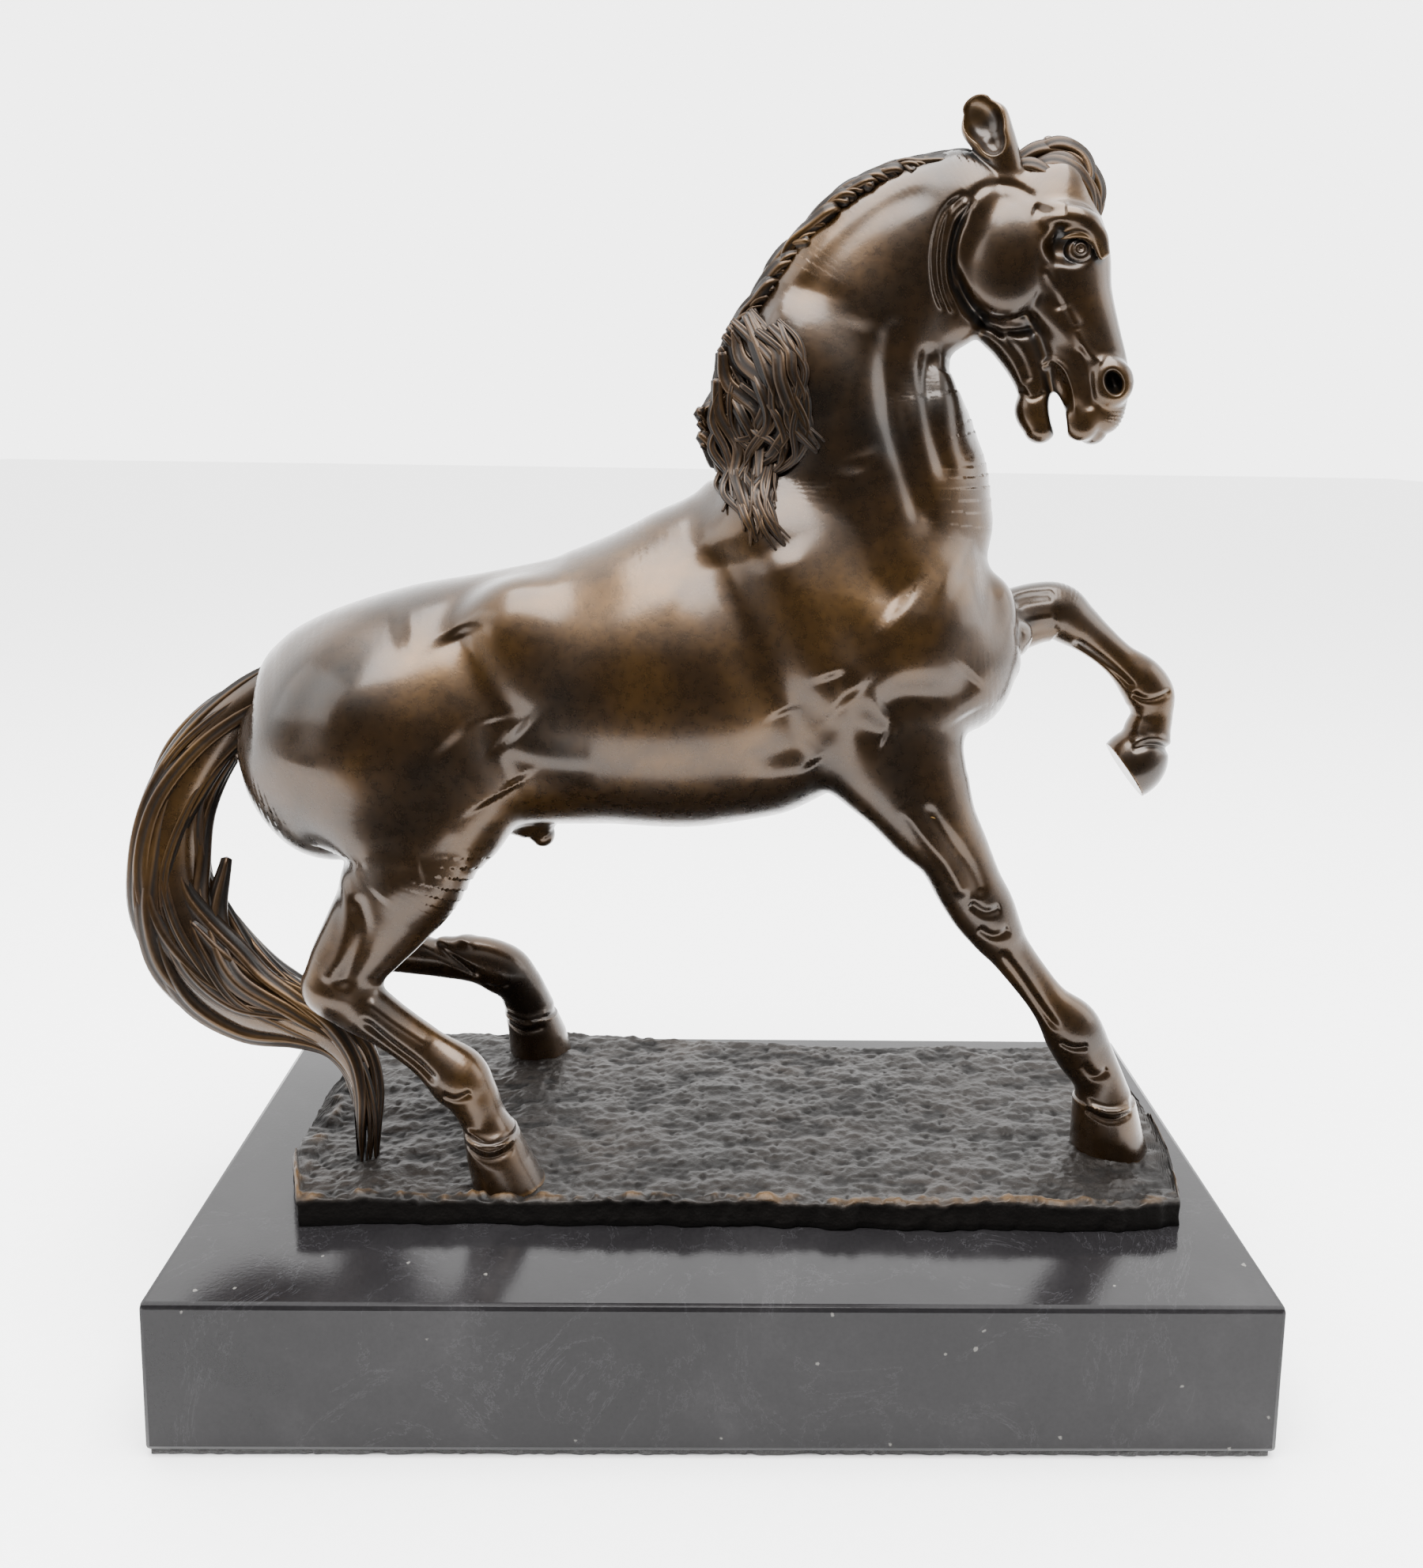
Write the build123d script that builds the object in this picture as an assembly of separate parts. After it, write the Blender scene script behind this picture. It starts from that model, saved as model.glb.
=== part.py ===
"""Bronze horse statue on a marble base: a figure cast in eight hollow and solid pieces,
joined by spigots, sleeves and rivets, studded to a cast ground plate and bolted to the base.

Frame: +Z up, origin under the middle of the base, +X towards the horse's head, its right
side towards -Y. Millimetres. Tables of sections give the horse at its nominal height.
"""
import math
import os

from build123d import *

# ---- driving dimensions of the base ----
marble_length = 300.0
marble_depth = 160.0
marble_thickness = 42.0
marble_arris = 1.6
felt_thickness = 2.0
felt_inset = 1.2
plate_thickness = 8.0
plate_skin = 3.0
plate_rim = 5.0

# ---- driving dimensions of the horse ----
horse_height = 312.0
nominal_height = 312.0
body_wall = 4.0
neck_wall = 4.0
head_wall = 4.0
head_yaw = 16.0

# ---- fixings ----
bolt_diameter = 5.0
bolt_head_diameter = 8.5
bolt_head_height = 5.0
bolt_hole_clearance = 0.25
bolt_engagement = 6.0
bolt_washer_diameter = 12.0
bolt_washer_thickness = 1.2
counterbore_diameter = 14.0
counterbore_depth = 14.0
boss_wall = 3.5
stud_diameter = 4.0
stud_in_foot = 12.0
tail_stud_diameter = 3.0
stud_in_tail = 9.0
nut_height = 2.4
nut_ratio = 1.75
washer_thickness = 0.6
washer_ratio = 2.2
stud_clearance = 0.15
spigot_clearance = 0.1
foreleg_spigot_diameter = 13.0
hind_leg_spigot_diameter = 18.0
tail_spigot_diameter = 6.4
spigot_length = 17.0
spigot_root = 6.0
sleeve_wall = 2.5
neck_sleeve_diameter = 34.0
neck_sleeve_reach = 14.0
neck_socket_overrun = 5.0
head_sleeve_diameter = 13.0
head_sleeve_reach = 15.0
head_socket_overrun = 4.0
head_rivet_offset = 12.0
rivet_diameter = 2.6
tail_rivet_diameter = 2.0
rivet_recess = 1.6
neck_rivet_recess = 4.0
head_rivet_recess = 4.4
rivet_setback = 4.5
rivet_hole_overrun = 1.0
plug_diameter = 4.4

size = horse_height / nominal_height
marble_top = felt_thickness + marble_thickness
ground_top = marble_top + plate_thickness
section_points = 12
rivet_reach = 45.0 * size

# ---- sections: x, y, height over the ground, half size in the profile, half width ----
TRUNK = [
    (-147, 8, 119, 6, 8), (-143, 8, 120, 14, 18), (-135, 8, 121, 24, 27),
    (-124, 8, 124, 32, 33), (-108, 8, 129.5, 36.5, 37), (-88, 8, 132.5, 38.5, 37),
    (-65, 7.5, 135, 39.5, 32), (-40, 7, 139, 41.5, 33.5), (-15, 6, 144.5, 47.5, 35.5),
    (10, 5, 152, 50, 34), (35, 4.5, 154.5, 43.5, 32), (58, 4, 153, 35, 31),
    (75, 4, 153.5, 26, 26), (85, 4, 155, 14, 16), (88.5, 4, 156, 6, 8),
]
NECK = [
    (38, 4, 172, 42, 27), (41, 4, 197, 39.5, 24), (40, 3.5, 212.5, 35.5, 21),
    (37.5, 3, 227.5, 31, 19), (37.5, 2.5, 241.5, 29, 18), (41.5, 2, 252, 27.5, 17),
    (47.5, 1.5, 261, 25, 16), (54, 1, 269.5, 21.5, 15), (61.5, 0, 277.5, 17, 14),
    (70, -1, 284, 12.5, 12),
]
MANE = [
    (2, 3, 212, 4, 7), (2, 2, 228, 5, 9), (7, 2, 246, 5, 8), (17, 1.5, 264, 4, 7),
    (31, 1, 280, 4, 6), (48, 0.5, 291, 4, 6), (66, 0, 296, 4, 6),
]
HEAD = [
    (78, 0, 290, 11, 11), (87, 0, 279, 20, 15), (89, 0, 266.5, 21, 14.5),
    (94, 0, 254, 17.5, 12), (98.5, 0, 243, 16, 10), (101.5, 0, 233.5, 15.5, 9),
    (101, 0, 225, 15, 8.5), (100, 0, 217, 10, 6.5),
]
RIGHT_EAR = [
    (81, -4.5, 288, 4.6, 4.2), (78.5, -6, 297, 5.4, 4.6), (75, -7.2, 305, 4.8, 4),
    (72.8, -7.8, 309.5, 3, 2.6),
]
LEFT_EAR = [(84, 7, 287, 4.4, 4), (87.5, 9.2, 293.5, 4.2, 4), (90, 10.5, 299, 3, 3)]
MOUTH_GAP_REACH = 20
MOUTH_GAP = [(91, 208), (95.5, 220), (93.5, 228.5), (97.5, 229.5), (100.5, 221), (101.5, 208)]
RIGHT_FORELEG = [
    (49, -12, 130, 20, 13), (55, -14, 118, 19, 13), (62, -15, 105, 14.4, 11.5),
    (69, -15, 95, 11.2, 10), (74.5, -15, 84.3, 10.2, 8.8), (79.3, -14.8, 76.5, 9.6, 8.6),
    (84, -14.5, 69, 8.2, 7.6), (88, -14.2, 63.5, 6.6, 6), (95.4, -13.5, 54, 5.8, 5),
    (101, -13, 47, 6.2, 5.4), (107.5, -12.5, 39.5, 8.8, 7.4), (112.3, -12, 31, 8.8, 7),
    (117.3, -11.5, 23, 7.8, 6.8), (119.7, -11, 14.5, 9.8, 9), (121, -10.5, 6.5, 10.9, 10),
    (122.5, -10, 0, 12, 11),
]
LEFT_FORELEG = [
    (70, 18, 150, 14, 11), (82, 20, 155, 12, 10), (91, 21.5, 158.8, 10.6, 9),
    (100, 22, 161.7, 9.6, 8.4), (107, 22, 162, 9.2, 8), (113, 22, 159, 7.6, 7),
    (120.3, 22, 154, 6, 5.4), (128, 22, 148, 5.6, 5), (135, 22, 142, 7.4, 6.6),
    (139, 22, 135.5, 7.6, 6.8), (140, 22, 129.5, 6.6, 6.2), (138.6, 22, 124, 8.2, 8),
    (136.3, 22, 118, 9.4, 9.2), (132.6, 22, 111, 9.3, 9.5),
]
RIGHT_THIGH = [
    (-90, -12, 122, 25, 17), (-91, -16, 103, 24, 17), (-92, -19, 89, 18, 15),
    (-96, -21, 78.5, 14.5, 12.5), (-101, -23, 70.5, 12, 10.5), (-107, -25.5, 61.5, 9.8, 8.6),
    (-110.5, -26.5, 55.5, 8.4, 7.4),
]
RIGHT_SHIN = [
    (-113.5, -26.8, 55.5, 6.6, 6), (-105.5, -27, 51.6, 8.2, 6.8), (-94.2, -28, 44.3, 6.9, 5.8),
    (-84, -29, 37.2, 7, 5.9), (-75.5, -30, 30.5, 8.8, 7.8), (-71, -30.3, 24.4, 7.4, 6.9),
    (-68.2, -30.5, 18.3, 6.6, 6.6), (-65.6, -30.5, 12.5, 8.2, 8.8), (-63.6, -30.3, 7, 9.2, 9.8),
    (-60.8, -30, 0, 10.5, 10.8),
]
LEFT_THIGH = [
    (-90, 24, 118, 24, 15), (-92, 26, 98, 23, 15), (-98, 28.5, 82.5, 15.5, 13),
    (-106, 31.5, 69, 12.2, 10.8), (-114, 34.5, 57.5, 10, 9), (-122, 38, 48.5, 8.6, 7.8),
]
LEFT_SHIN = [
    (-124, 38.5, 45.5, 7.2, 7), (-117, 40, 41.6, 7.8, 7), (-105, 42, 38.2, 7, 6.1),
    (-92, 44.5, 35.8, 7.2, 6.1), (-81, 47, 33.8, 8.2, 7.2), (-73, 49, 30.6, 8.8, 8),
    (-68.2, 50.5, 25, 7.8, 7.2), (-65.6, 52, 18.5, 8.4, 8), (-64, 53.5, 12.5, 9.3, 9),
    (-62.2, 54.5, 6.5, 10, 10), (-61.3, 55, 0, 10.6, 10.8),
]
TAIL = [
    (-116, 8, 148, 6, 6), (-127, 7.5, 143.5, 6.6, 6.4), (-138, 7, 136.5, 7.8, 7.4),
    (-149, 5, 126.5, 9.6, 9), (-158, 3, 115, 11, 10), (-164, 1, 102, 11.4, 11),
    (-166, 0, 88, 12.8, 12), (-165, -1, 75, 14.4, 13), (-160.5, -2, 62.5, 15.6, 13.5),
    (-152, -4, 51.5, 15, 13), (-140, -6, 44, 13, 11.5), (-127, -9, 40.5, 10.2, 9),
    (-116, -12, 35.5, 7.8, 7), (-108.8, -14.5, 28, 6, 5.5), (-105.4, -17, 18.7, 4.8, 4.8),
    (-104.7, -19, 8, 4.2, 4.2), (-104.5, -20, 0, 4, 4),
]
HOCKS = {"right": (-111, -26.6, 55.2, 8.6), "left": (-123.5, 38.2, 46.5, 8)}

# plan of the ground plate, anticlockwise from its near left corner
PLATE_PLAN = [
    (-119, -45), (-60, -43), (0, -44), (60, -45), (120, -45), (134, -42), (139, -20),
    (141, 10), (140, 40), (133, 56), (100, 58), (20, 59), (-50, 66), (-100, 66),
    (-122, 55), (-127, 20), (-127, -20),
]
BOLT_PLACES = [(-28, -28), (-28, 40), (84, -28), (84, 40)]
# what stands on the plate: x, y, diameter and depth of its stud
FEET = {
    "right_foreleg": (121.5, -10, stud_diameter, stud_in_foot),
    "right_hind_leg": (-62, -30, stud_diameter, stud_in_foot),
    "left_hind_leg": (-62, 54.5, stud_diameter, stud_in_foot),
    "tail": (-104.5, -20, tail_stud_diameter, stud_in_tail),
}
# core plugs: x, height over the ground, side of the trunk, which is centred on y 8
TRUNK_AXIS = 8
PLUG_PLACES = [(66, 138, -1), (66, 138, 1), (-60, 158, -1), (-60, 158, 1), (-5, 120, 1)]


def place(x, y, z):
    """A point of the horse's tables, at the horse's real size on the ground plate."""
    return Vector(x * size, y * size, ground_top + z * size)


def section(point, path, half_profile, half_width):
    """An elliptical section across a path that runs in the profile plane."""
    across = Vector(-path.Z, 0, path.X).normalized()
    points = []
    for index in range(section_points):
        turn = 2 * math.pi * index / section_points
        points.append(point + across * (half_profile * math.cos(turn))
                      + Vector(0, half_width * math.sin(turn), 0))
    return Face(Wire([Edge.make_spline(points, periodic=True)]))


def limb(stations, inset=0.0):
    """A solid lofted through the sections of a table, each smaller by the inset.

    A section at no height over the ground is level, so that it stands flat.
    """
    centres = [place(*station[:3]) for station in stations]
    faces = []
    for index, station in enumerate(stations):
        path = centres[min(index + 1, len(centres) - 1)] - centres[max(index - 1, 0)]
        if station[2] == 0:
            path = Vector(0, 0, -1)
        faces.append(section(centres[index], path,
                             station[3] * size - inset, station[4] * size - inset))
    return loft(faces)


def rod(start, along, length, diameter):
    """A round bar from a start point along a direction."""
    plane = Plane(origin=start, z_dir=along)
    return plane * Cylinder(diameter / 2, length, align=(Align.CENTER, Align.CENTER, Align.MIN))


def pipe(start, along, length, outer, wall):
    """A tube from a start point along a direction."""
    return rod(start, along, length, outer) - rod(start, along, length, outer - 2 * wall)


def upright(x, y, bottom, height, diameter):
    """A vertical round bar that stands on a height."""
    return rod(Vector(x, y, bottom), Vector(0, 0, 1), height, diameter)


def spigot_frame(stations, index):
    """The point and the outward direction of a limb at one of its sections."""
    here = place(*stations[index][:3])
    there = place(*stations[index + 1][:3])
    return here, (there - here).normalized()


def hind_leg(thigh, shin, hock):
    """Thigh and shin lofts that meet in the round of the hock."""
    return limb(thigh) + Pos(place(*hock[:3])) * Sphere(hock[3] * size) + limb(shin)


os.makedirs("parts", exist_ok=True)

# ---- outer forms of the castings ----
trunk_outer = limb(TRUNK)
neck_outer = limb(NECK) + limb(MANE)
turned = Location(place(78, 0, 0)) * Rotation(0, 0, -head_yaw) * Location(-place(78, 0, 0))
gap_points = [place(x, 0, z) for x, z in MOUTH_GAP]
mouth_gap = extrude(Face(Wire.make_polygon(gap_points, close=True)), amount=MOUTH_GAP_REACH * size, both=True)
head_outer = turned * (limb(HEAD) + limb(RIGHT_EAR) + limb(LEFT_EAR) - mouth_gap)
legs = {
    "right_foreleg": limb(RIGHT_FORELEG),
    "left_foreleg": limb(LEFT_FORELEG),
    "right_hind_leg": hind_leg(RIGHT_THIGH, RIGHT_SHIN, HOCKS["right"]),
    "left_hind_leg": hind_leg(LEFT_THIGH, LEFT_SHIN, HOCKS["left"]),
}
tail_outer = limb(TAIL)

# ---- body casting: a hollow trunk with a spigot for each limb ----
body_core = limb(TRUNK[1:-1], body_wall)
body_shell = trunk_outer - body_core
across_body = Vector(0, 1, 0)
limb_tables = {
    "right_foreleg": (RIGHT_FORELEG[:8], foreleg_spigot_diameter, rivet_diameter),
    "left_foreleg": (LEFT_FORELEG[:8], foreleg_spigot_diameter, rivet_diameter),
    "right_hind_leg": (RIGHT_THIGH, hind_leg_spigot_diameter, rivet_diameter),
    "left_hind_leg": (LEFT_THIGH, hind_leg_spigot_diameter, rivet_diameter),
    "tail": (TAIL[:9], tail_spigot_diameter, tail_rivet_diameter),
}
castings = {**legs, "tail": tail_outer}
rivets = {}
for name, (table, spigot_diameter, pin_diameter) in limb_tables.items():
    start, outward = spigot_frame(table, 1)
    start = start - outward * spigot_root
    reach = spigot_root + spigot_length
    body_shell = body_shell + rod(start, outward, reach, spigot_diameter)
    socket = rod(start, outward, reach + spigot_clearance, spigot_diameter + 2 * spigot_clearance)
    pin_centre = start + outward * (reach - rivet_setback)
    bar = rod(pin_centre - across_body * rivet_reach, across_body, 2 * rivet_reach, pin_diameter)
    hole = bar & limb(table, -rivet_hole_overrun)
    rivets[name] = bar & limb(table, rivet_recess)
    castings[name] = castings[name] - trunk_outer - socket - hole
    body_shell = body_shell - hole

# ---- neck: a hollow casting on a sleeve that stands in the body ----
neck_seat, neck_axis = spigot_frame(NECK, 1)
neck_sleeve_start = neck_seat - neck_axis * neck_sleeve_reach
neck_sleeve = pipe(neck_sleeve_start, neck_axis, 2 * neck_sleeve_reach,
                   neck_sleeve_diameter, sleeve_wall)
neck_socket = rod(neck_sleeve_start, neck_axis, 2 * neck_sleeve_reach + neck_socket_overrun * size,
                  neck_sleeve_diameter + 2 * spigot_clearance)
neck_core = limb(NECK[2:8], neck_wall)
body_shell = body_shell - rod(neck_sleeve_start, neck_axis, 2 * neck_sleeve_reach, neck_sleeve_diameter)
neck_shell = neck_outer - trunk_outer - neck_core - neck_socket
neck_pin_centre = neck_seat + neck_axis * (neck_sleeve_reach / 2)
neck_bar = rod(neck_pin_centre - across_body * rivet_reach, across_body, 2 * rivet_reach, rivet_diameter)
neck_bore = rod(neck_sleeve_start, neck_axis, 2 * neck_sleeve_reach,
                neck_sleeve_diameter - 2 * sleeve_wall)
neck_rivets = (neck_bar & limb(NECK, neck_rivet_recess)) - neck_bore
neck_shell = neck_shell - neck_bar
neck_sleeve = neck_sleeve - neck_bar

# ---- head: a hollow casting on a sleeve that stands in the neck ----
head_seat = place(70, -1, 282)
head_axis = (place(88, -4.5, 277.5) - head_seat).normalized()
head_sleeve_start = head_seat - head_axis * head_sleeve_reach
head_sleeve = pipe(head_sleeve_start, head_axis, 2 * head_sleeve_reach,
                   head_sleeve_diameter, sleeve_wall)
head_socket = rod(head_sleeve_start - head_axis * head_socket_overrun * size, head_axis,
                  2 * (head_sleeve_reach + head_socket_overrun * size),
                  head_sleeve_diameter + 2 * spigot_clearance)
head_core = turned * limb(HEAD[1:6], head_wall)
head_pin_centre = head_seat + head_axis * head_rivet_offset
head_bar = rod(head_pin_centre - across_body * rivet_reach, across_body, 2 * rivet_reach,
               tail_rivet_diameter)
head_bore = rod(head_sleeve_start, head_axis, 2 * head_sleeve_reach,
                head_sleeve_diameter - 2 * sleeve_wall)
head_rivets = (head_bar & (turned * limb(HEAD, head_rivet_recess))) - head_bore
head_shell = head_outer - neck_outer - head_core - head_socket - head_bar
neck_shell = neck_shell - head_socket
head_sleeve = head_sleeve - head_bar

# ---- core plugs in the body's wall ----
plugs = []
for x, z, side in PLUG_PLACES:
    bar = rod(place(x, TRUNK_AXIS, z), across_body * side, rivet_reach, plug_diameter)
    plugs += (body_shell & bar).solids()
    body_shell = body_shell - bar

# ---- ground plate: a shallow casting with bosses and stud holes ----
plate_outline = Face(Wire.make_polygon([Vector(x * size, y * size, marble_top) for x, y in PLATE_PLAN],
                                       close=True))
cavity_height = plate_thickness - plate_skin
plate_cavity = extrude(offset(plate_outline, amount=-plate_rim), amount=cavity_height)
ground_plate = extrude(plate_outline, amount=plate_thickness) - plate_cavity
boss_diameter = bolt_diameter + 2 * boss_wall
bolts = []
bolt_washers = []
seat_height = felt_thickness + counterbore_depth
marble = Pos(0, 0, felt_thickness) * Box(marble_length, marble_depth, marble_thickness,
                                         align=(Align.CENTER, Align.CENTER, Align.MIN))
marble = chamfer(marble.faces().sort_by(Axis.Z)[-1].edges(), marble_arris)
for x, y in BOLT_PLACES:
    x, y = x * size, y * size
    ground_plate = ground_plate + upright(x, y, marble_top, cavity_height, boss_diameter)
    ground_plate = ground_plate - upright(x, y, marble_top, bolt_engagement, bolt_diameter)
    marble = marble - upright(x, y, felt_thickness, marble_thickness,
                              bolt_diameter + 2 * bolt_hole_clearance)
    marble = marble - upright(x, y, felt_thickness, counterbore_depth, counterbore_diameter)
    head_top = seat_height - bolt_washer_thickness
    bolts.append(upright(x, y, head_top - bolt_head_height, bolt_head_height, bolt_head_diameter)
                 + upright(x, y, head_top, marble_top + bolt_engagement - head_top, bolt_diameter))
    bolt_washers.append(upright(x, y, head_top, bolt_washer_thickness, bolt_washer_diameter)
                        - upright(x, y, head_top, bolt_washer_thickness,
                                  bolt_diameter + 2 * bolt_hole_clearance))

# ---- studs, washers and nuts that hold the feet and the tail's end to the plate ----
studs = []
nuts = []
washers = []
skin_underside = marble_top + cavity_height
for name, (x, y, diameter, depth) in FEET.items():
    x, y = x * size, y * size
    nut_bottom = skin_underside - washer_thickness - nut_height
    stud = upright(x, y, nut_bottom, ground_top + depth - nut_bottom, diameter)
    studs.append(stud)
    castings[name] = castings[name] - stud
    ground_plate = ground_plate - upright(x, y, skin_underside, plate_skin,
                                          diameter + 2 * stud_clearance)
    nut_blank = Pos(x, y, nut_bottom) * extrude(
        RegularPolygon(nut_ratio * diameter / 2, 6, major_radius=False), amount=nut_height)
    nuts.append(nut_blank - stud)
    washers.append(upright(x, y, skin_underside - washer_thickness, washer_thickness,
                           washer_ratio * diameter)
                   - upright(x, y, skin_underside - washer_thickness, washer_thickness,
                             diameter + 2 * stud_clearance))

castings["tail"] = castings["tail"] - legs["right_hind_leg"]

# ---- felt under the marble ----
felt = Box(marble_length - 2 * felt_inset, marble_depth - 2 * felt_inset, felt_thickness,
           align=(Align.CENTER, Align.CENTER, Align.MIN))


def node(name, shape):
    """Label a shape, write its STEP file and report its solids."""
    solids = shape if isinstance(shape, list) else shape.solids()
    body = solids[0] if len(solids) == 1 else Compound(children=solids)
    body.label = name
    export_step(body, f"parts/{name}.step")
    print(name, len(solids), round(sum(solid.volume for solid in solids)))


node("marble_base", marble)
node("felt_sheet", felt)
node("ground_plate", ground_plate)
node("base_bolts", bolts)
node("base_washers", bolt_washers)
node("body_shell", body_shell)
node("neck_shell", neck_shell)
node("head_shell", head_shell)
for name, shape in castings.items():
    node(name, shape)
node("neck_sleeve", neck_sleeve)
node("head_sleeve", head_sleeve)
node("neck_rivets", neck_rivets)
node("head_rivets", head_rivets)
node("foreleg_rivets", rivets["right_foreleg"].solids() + rivets["left_foreleg"].solids())
node("hind_leg_rivets", rivets["right_hind_leg"].solids() + rivets["left_hind_leg"].solids())
node("tail_rivet", rivets["tail"])
node("core_plugs", plugs)
node("foot_studs", studs)
node("foot_nuts", nuts)
node("foot_washers", washers)
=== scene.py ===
import math

import bmesh
import bpy
import numpy as np
from mathutils import Matrix, Vector


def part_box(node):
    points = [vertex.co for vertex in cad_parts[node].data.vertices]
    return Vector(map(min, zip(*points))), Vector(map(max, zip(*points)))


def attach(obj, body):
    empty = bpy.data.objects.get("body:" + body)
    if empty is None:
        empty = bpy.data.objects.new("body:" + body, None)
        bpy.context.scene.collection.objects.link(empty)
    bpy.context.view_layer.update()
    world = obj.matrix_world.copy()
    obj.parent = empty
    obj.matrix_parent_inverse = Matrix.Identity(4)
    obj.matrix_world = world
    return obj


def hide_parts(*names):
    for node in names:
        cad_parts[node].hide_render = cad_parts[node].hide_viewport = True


# The figure is one solid written as a signed distance in millimetres: tubes with elliptical
# sections for trunk, neck and limbs, ellipsoids for muscles, and soft strokes for tendons,
# folds and creases. Each casting is the zero surface of that distance in its own region.

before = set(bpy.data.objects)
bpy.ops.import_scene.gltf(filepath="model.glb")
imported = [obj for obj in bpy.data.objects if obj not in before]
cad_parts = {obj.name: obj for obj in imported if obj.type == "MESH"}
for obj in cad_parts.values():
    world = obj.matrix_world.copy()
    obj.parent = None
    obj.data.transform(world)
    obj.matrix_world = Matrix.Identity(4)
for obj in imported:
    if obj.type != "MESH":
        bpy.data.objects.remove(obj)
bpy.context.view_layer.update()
MM = 0.001
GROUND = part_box("ground_plate")[1][2] / MM
MARBLE_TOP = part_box("marble_base")[1][2] / MM
FAR = 60.0
AXIS_Y = 6.0
WORLD_LIGHT = 4.4
FLOOR_SIZE = 8.0
FLOOR_FRONT = -0.29


# ---------------------------------------------------------------- camera
def aim_camera():
    """The camera stands level with the horse's neck and looks slightly down at its right side."""
    data = bpy.data.cameras.new("camera")
    camera = bpy.data.objects.new("camera", data)
    bpy.context.collection.objects.link(camera)
    yaw, pitch, roll = (math.radians(angle) for angle in (-1.0, -8.3, -0.85))
    data.sensor_fit = "VERTICAL"
    data.sensor_height = 36.0
    data.lens = 31.93
    data.shift_x = -0.0081
    data.shift_y = -0.1016
    camera.rotation_mode = "XYZ"
    turn = Matrix.Rotation(yaw, 3, "Z") @ Matrix.Rotation(pitch, 3, "X") @ Matrix.Rotation(roll, 3, "Y")
    right, forward, up = turn.col
    basis = Matrix((right, up, -forward)).transposed().to_4x4()
    basis.translation = Vector((-6.5, -412.5, 272.0)) * MM
    camera.matrix_world = basis
    bpy.context.scene.camera = camera


aim_camera()


# ---------------------------------------------------------------- numbers on curves
def spline(rows, count):
    """Rows as a smooth curve: cubic spans whose slope at a row is half the step across it."""
    rows = np.asarray(rows, float)
    slopes = np.gradient(rows, axis=0)
    at = np.linspace(0, len(rows) - 1, count)
    index = np.minimum(at.astype(int), len(rows) - 2)
    t = (at - index)[:, None]
    a, b, da, db = rows[index], rows[index + 1], slopes[index], slopes[index + 1]
    return (a * (2 * t**3 - 3 * t**2 + 1) + da * (t**3 - 2 * t**2 + t)
            + b * (3 * t**2 - 2 * t**3) + db * (t**3 - t**2))


def unit(vectors):
    """Vectors over their own length."""
    return vectors / np.maximum(np.linalg.norm(vectors, axis=-1, keepdims=True), 1e-9)


def smooth(t):
    """0 to 1 with level ends."""
    t = np.clip(t, 0, 1)
    return t * t * (3 - 2 * t)


def lattice(cells, seed):
    """A fixed number from 0 to 1 for each whole-number cell: the fraction of a large sine."""
    mixed = cells @ np.array([127.1, 311.7, 74.7]) + seed * 19.19
    return np.abs(np.sin(mixed) * 43758.5453) % 1.0


def noise(points, scale, seed=0):
    """Value noise from -1 to 1: lattice numbers at cell corners, blended smoothly between."""
    q = points / scale
    base = np.floor(q)
    t = smooth(q - base)
    total = np.zeros(len(points))
    for dx in (0, 1):
        for dy in (0, 1):
            for dz in (0, 1):
                weight = (np.abs(1 - dx - t[:, 0]) * np.abs(1 - dy - t[:, 1])
                          * np.abs(1 - dz - t[:, 2]))
                total += weight * lattice(base + (dx, dy, dz), seed)
    return 2 * total - 1


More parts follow.
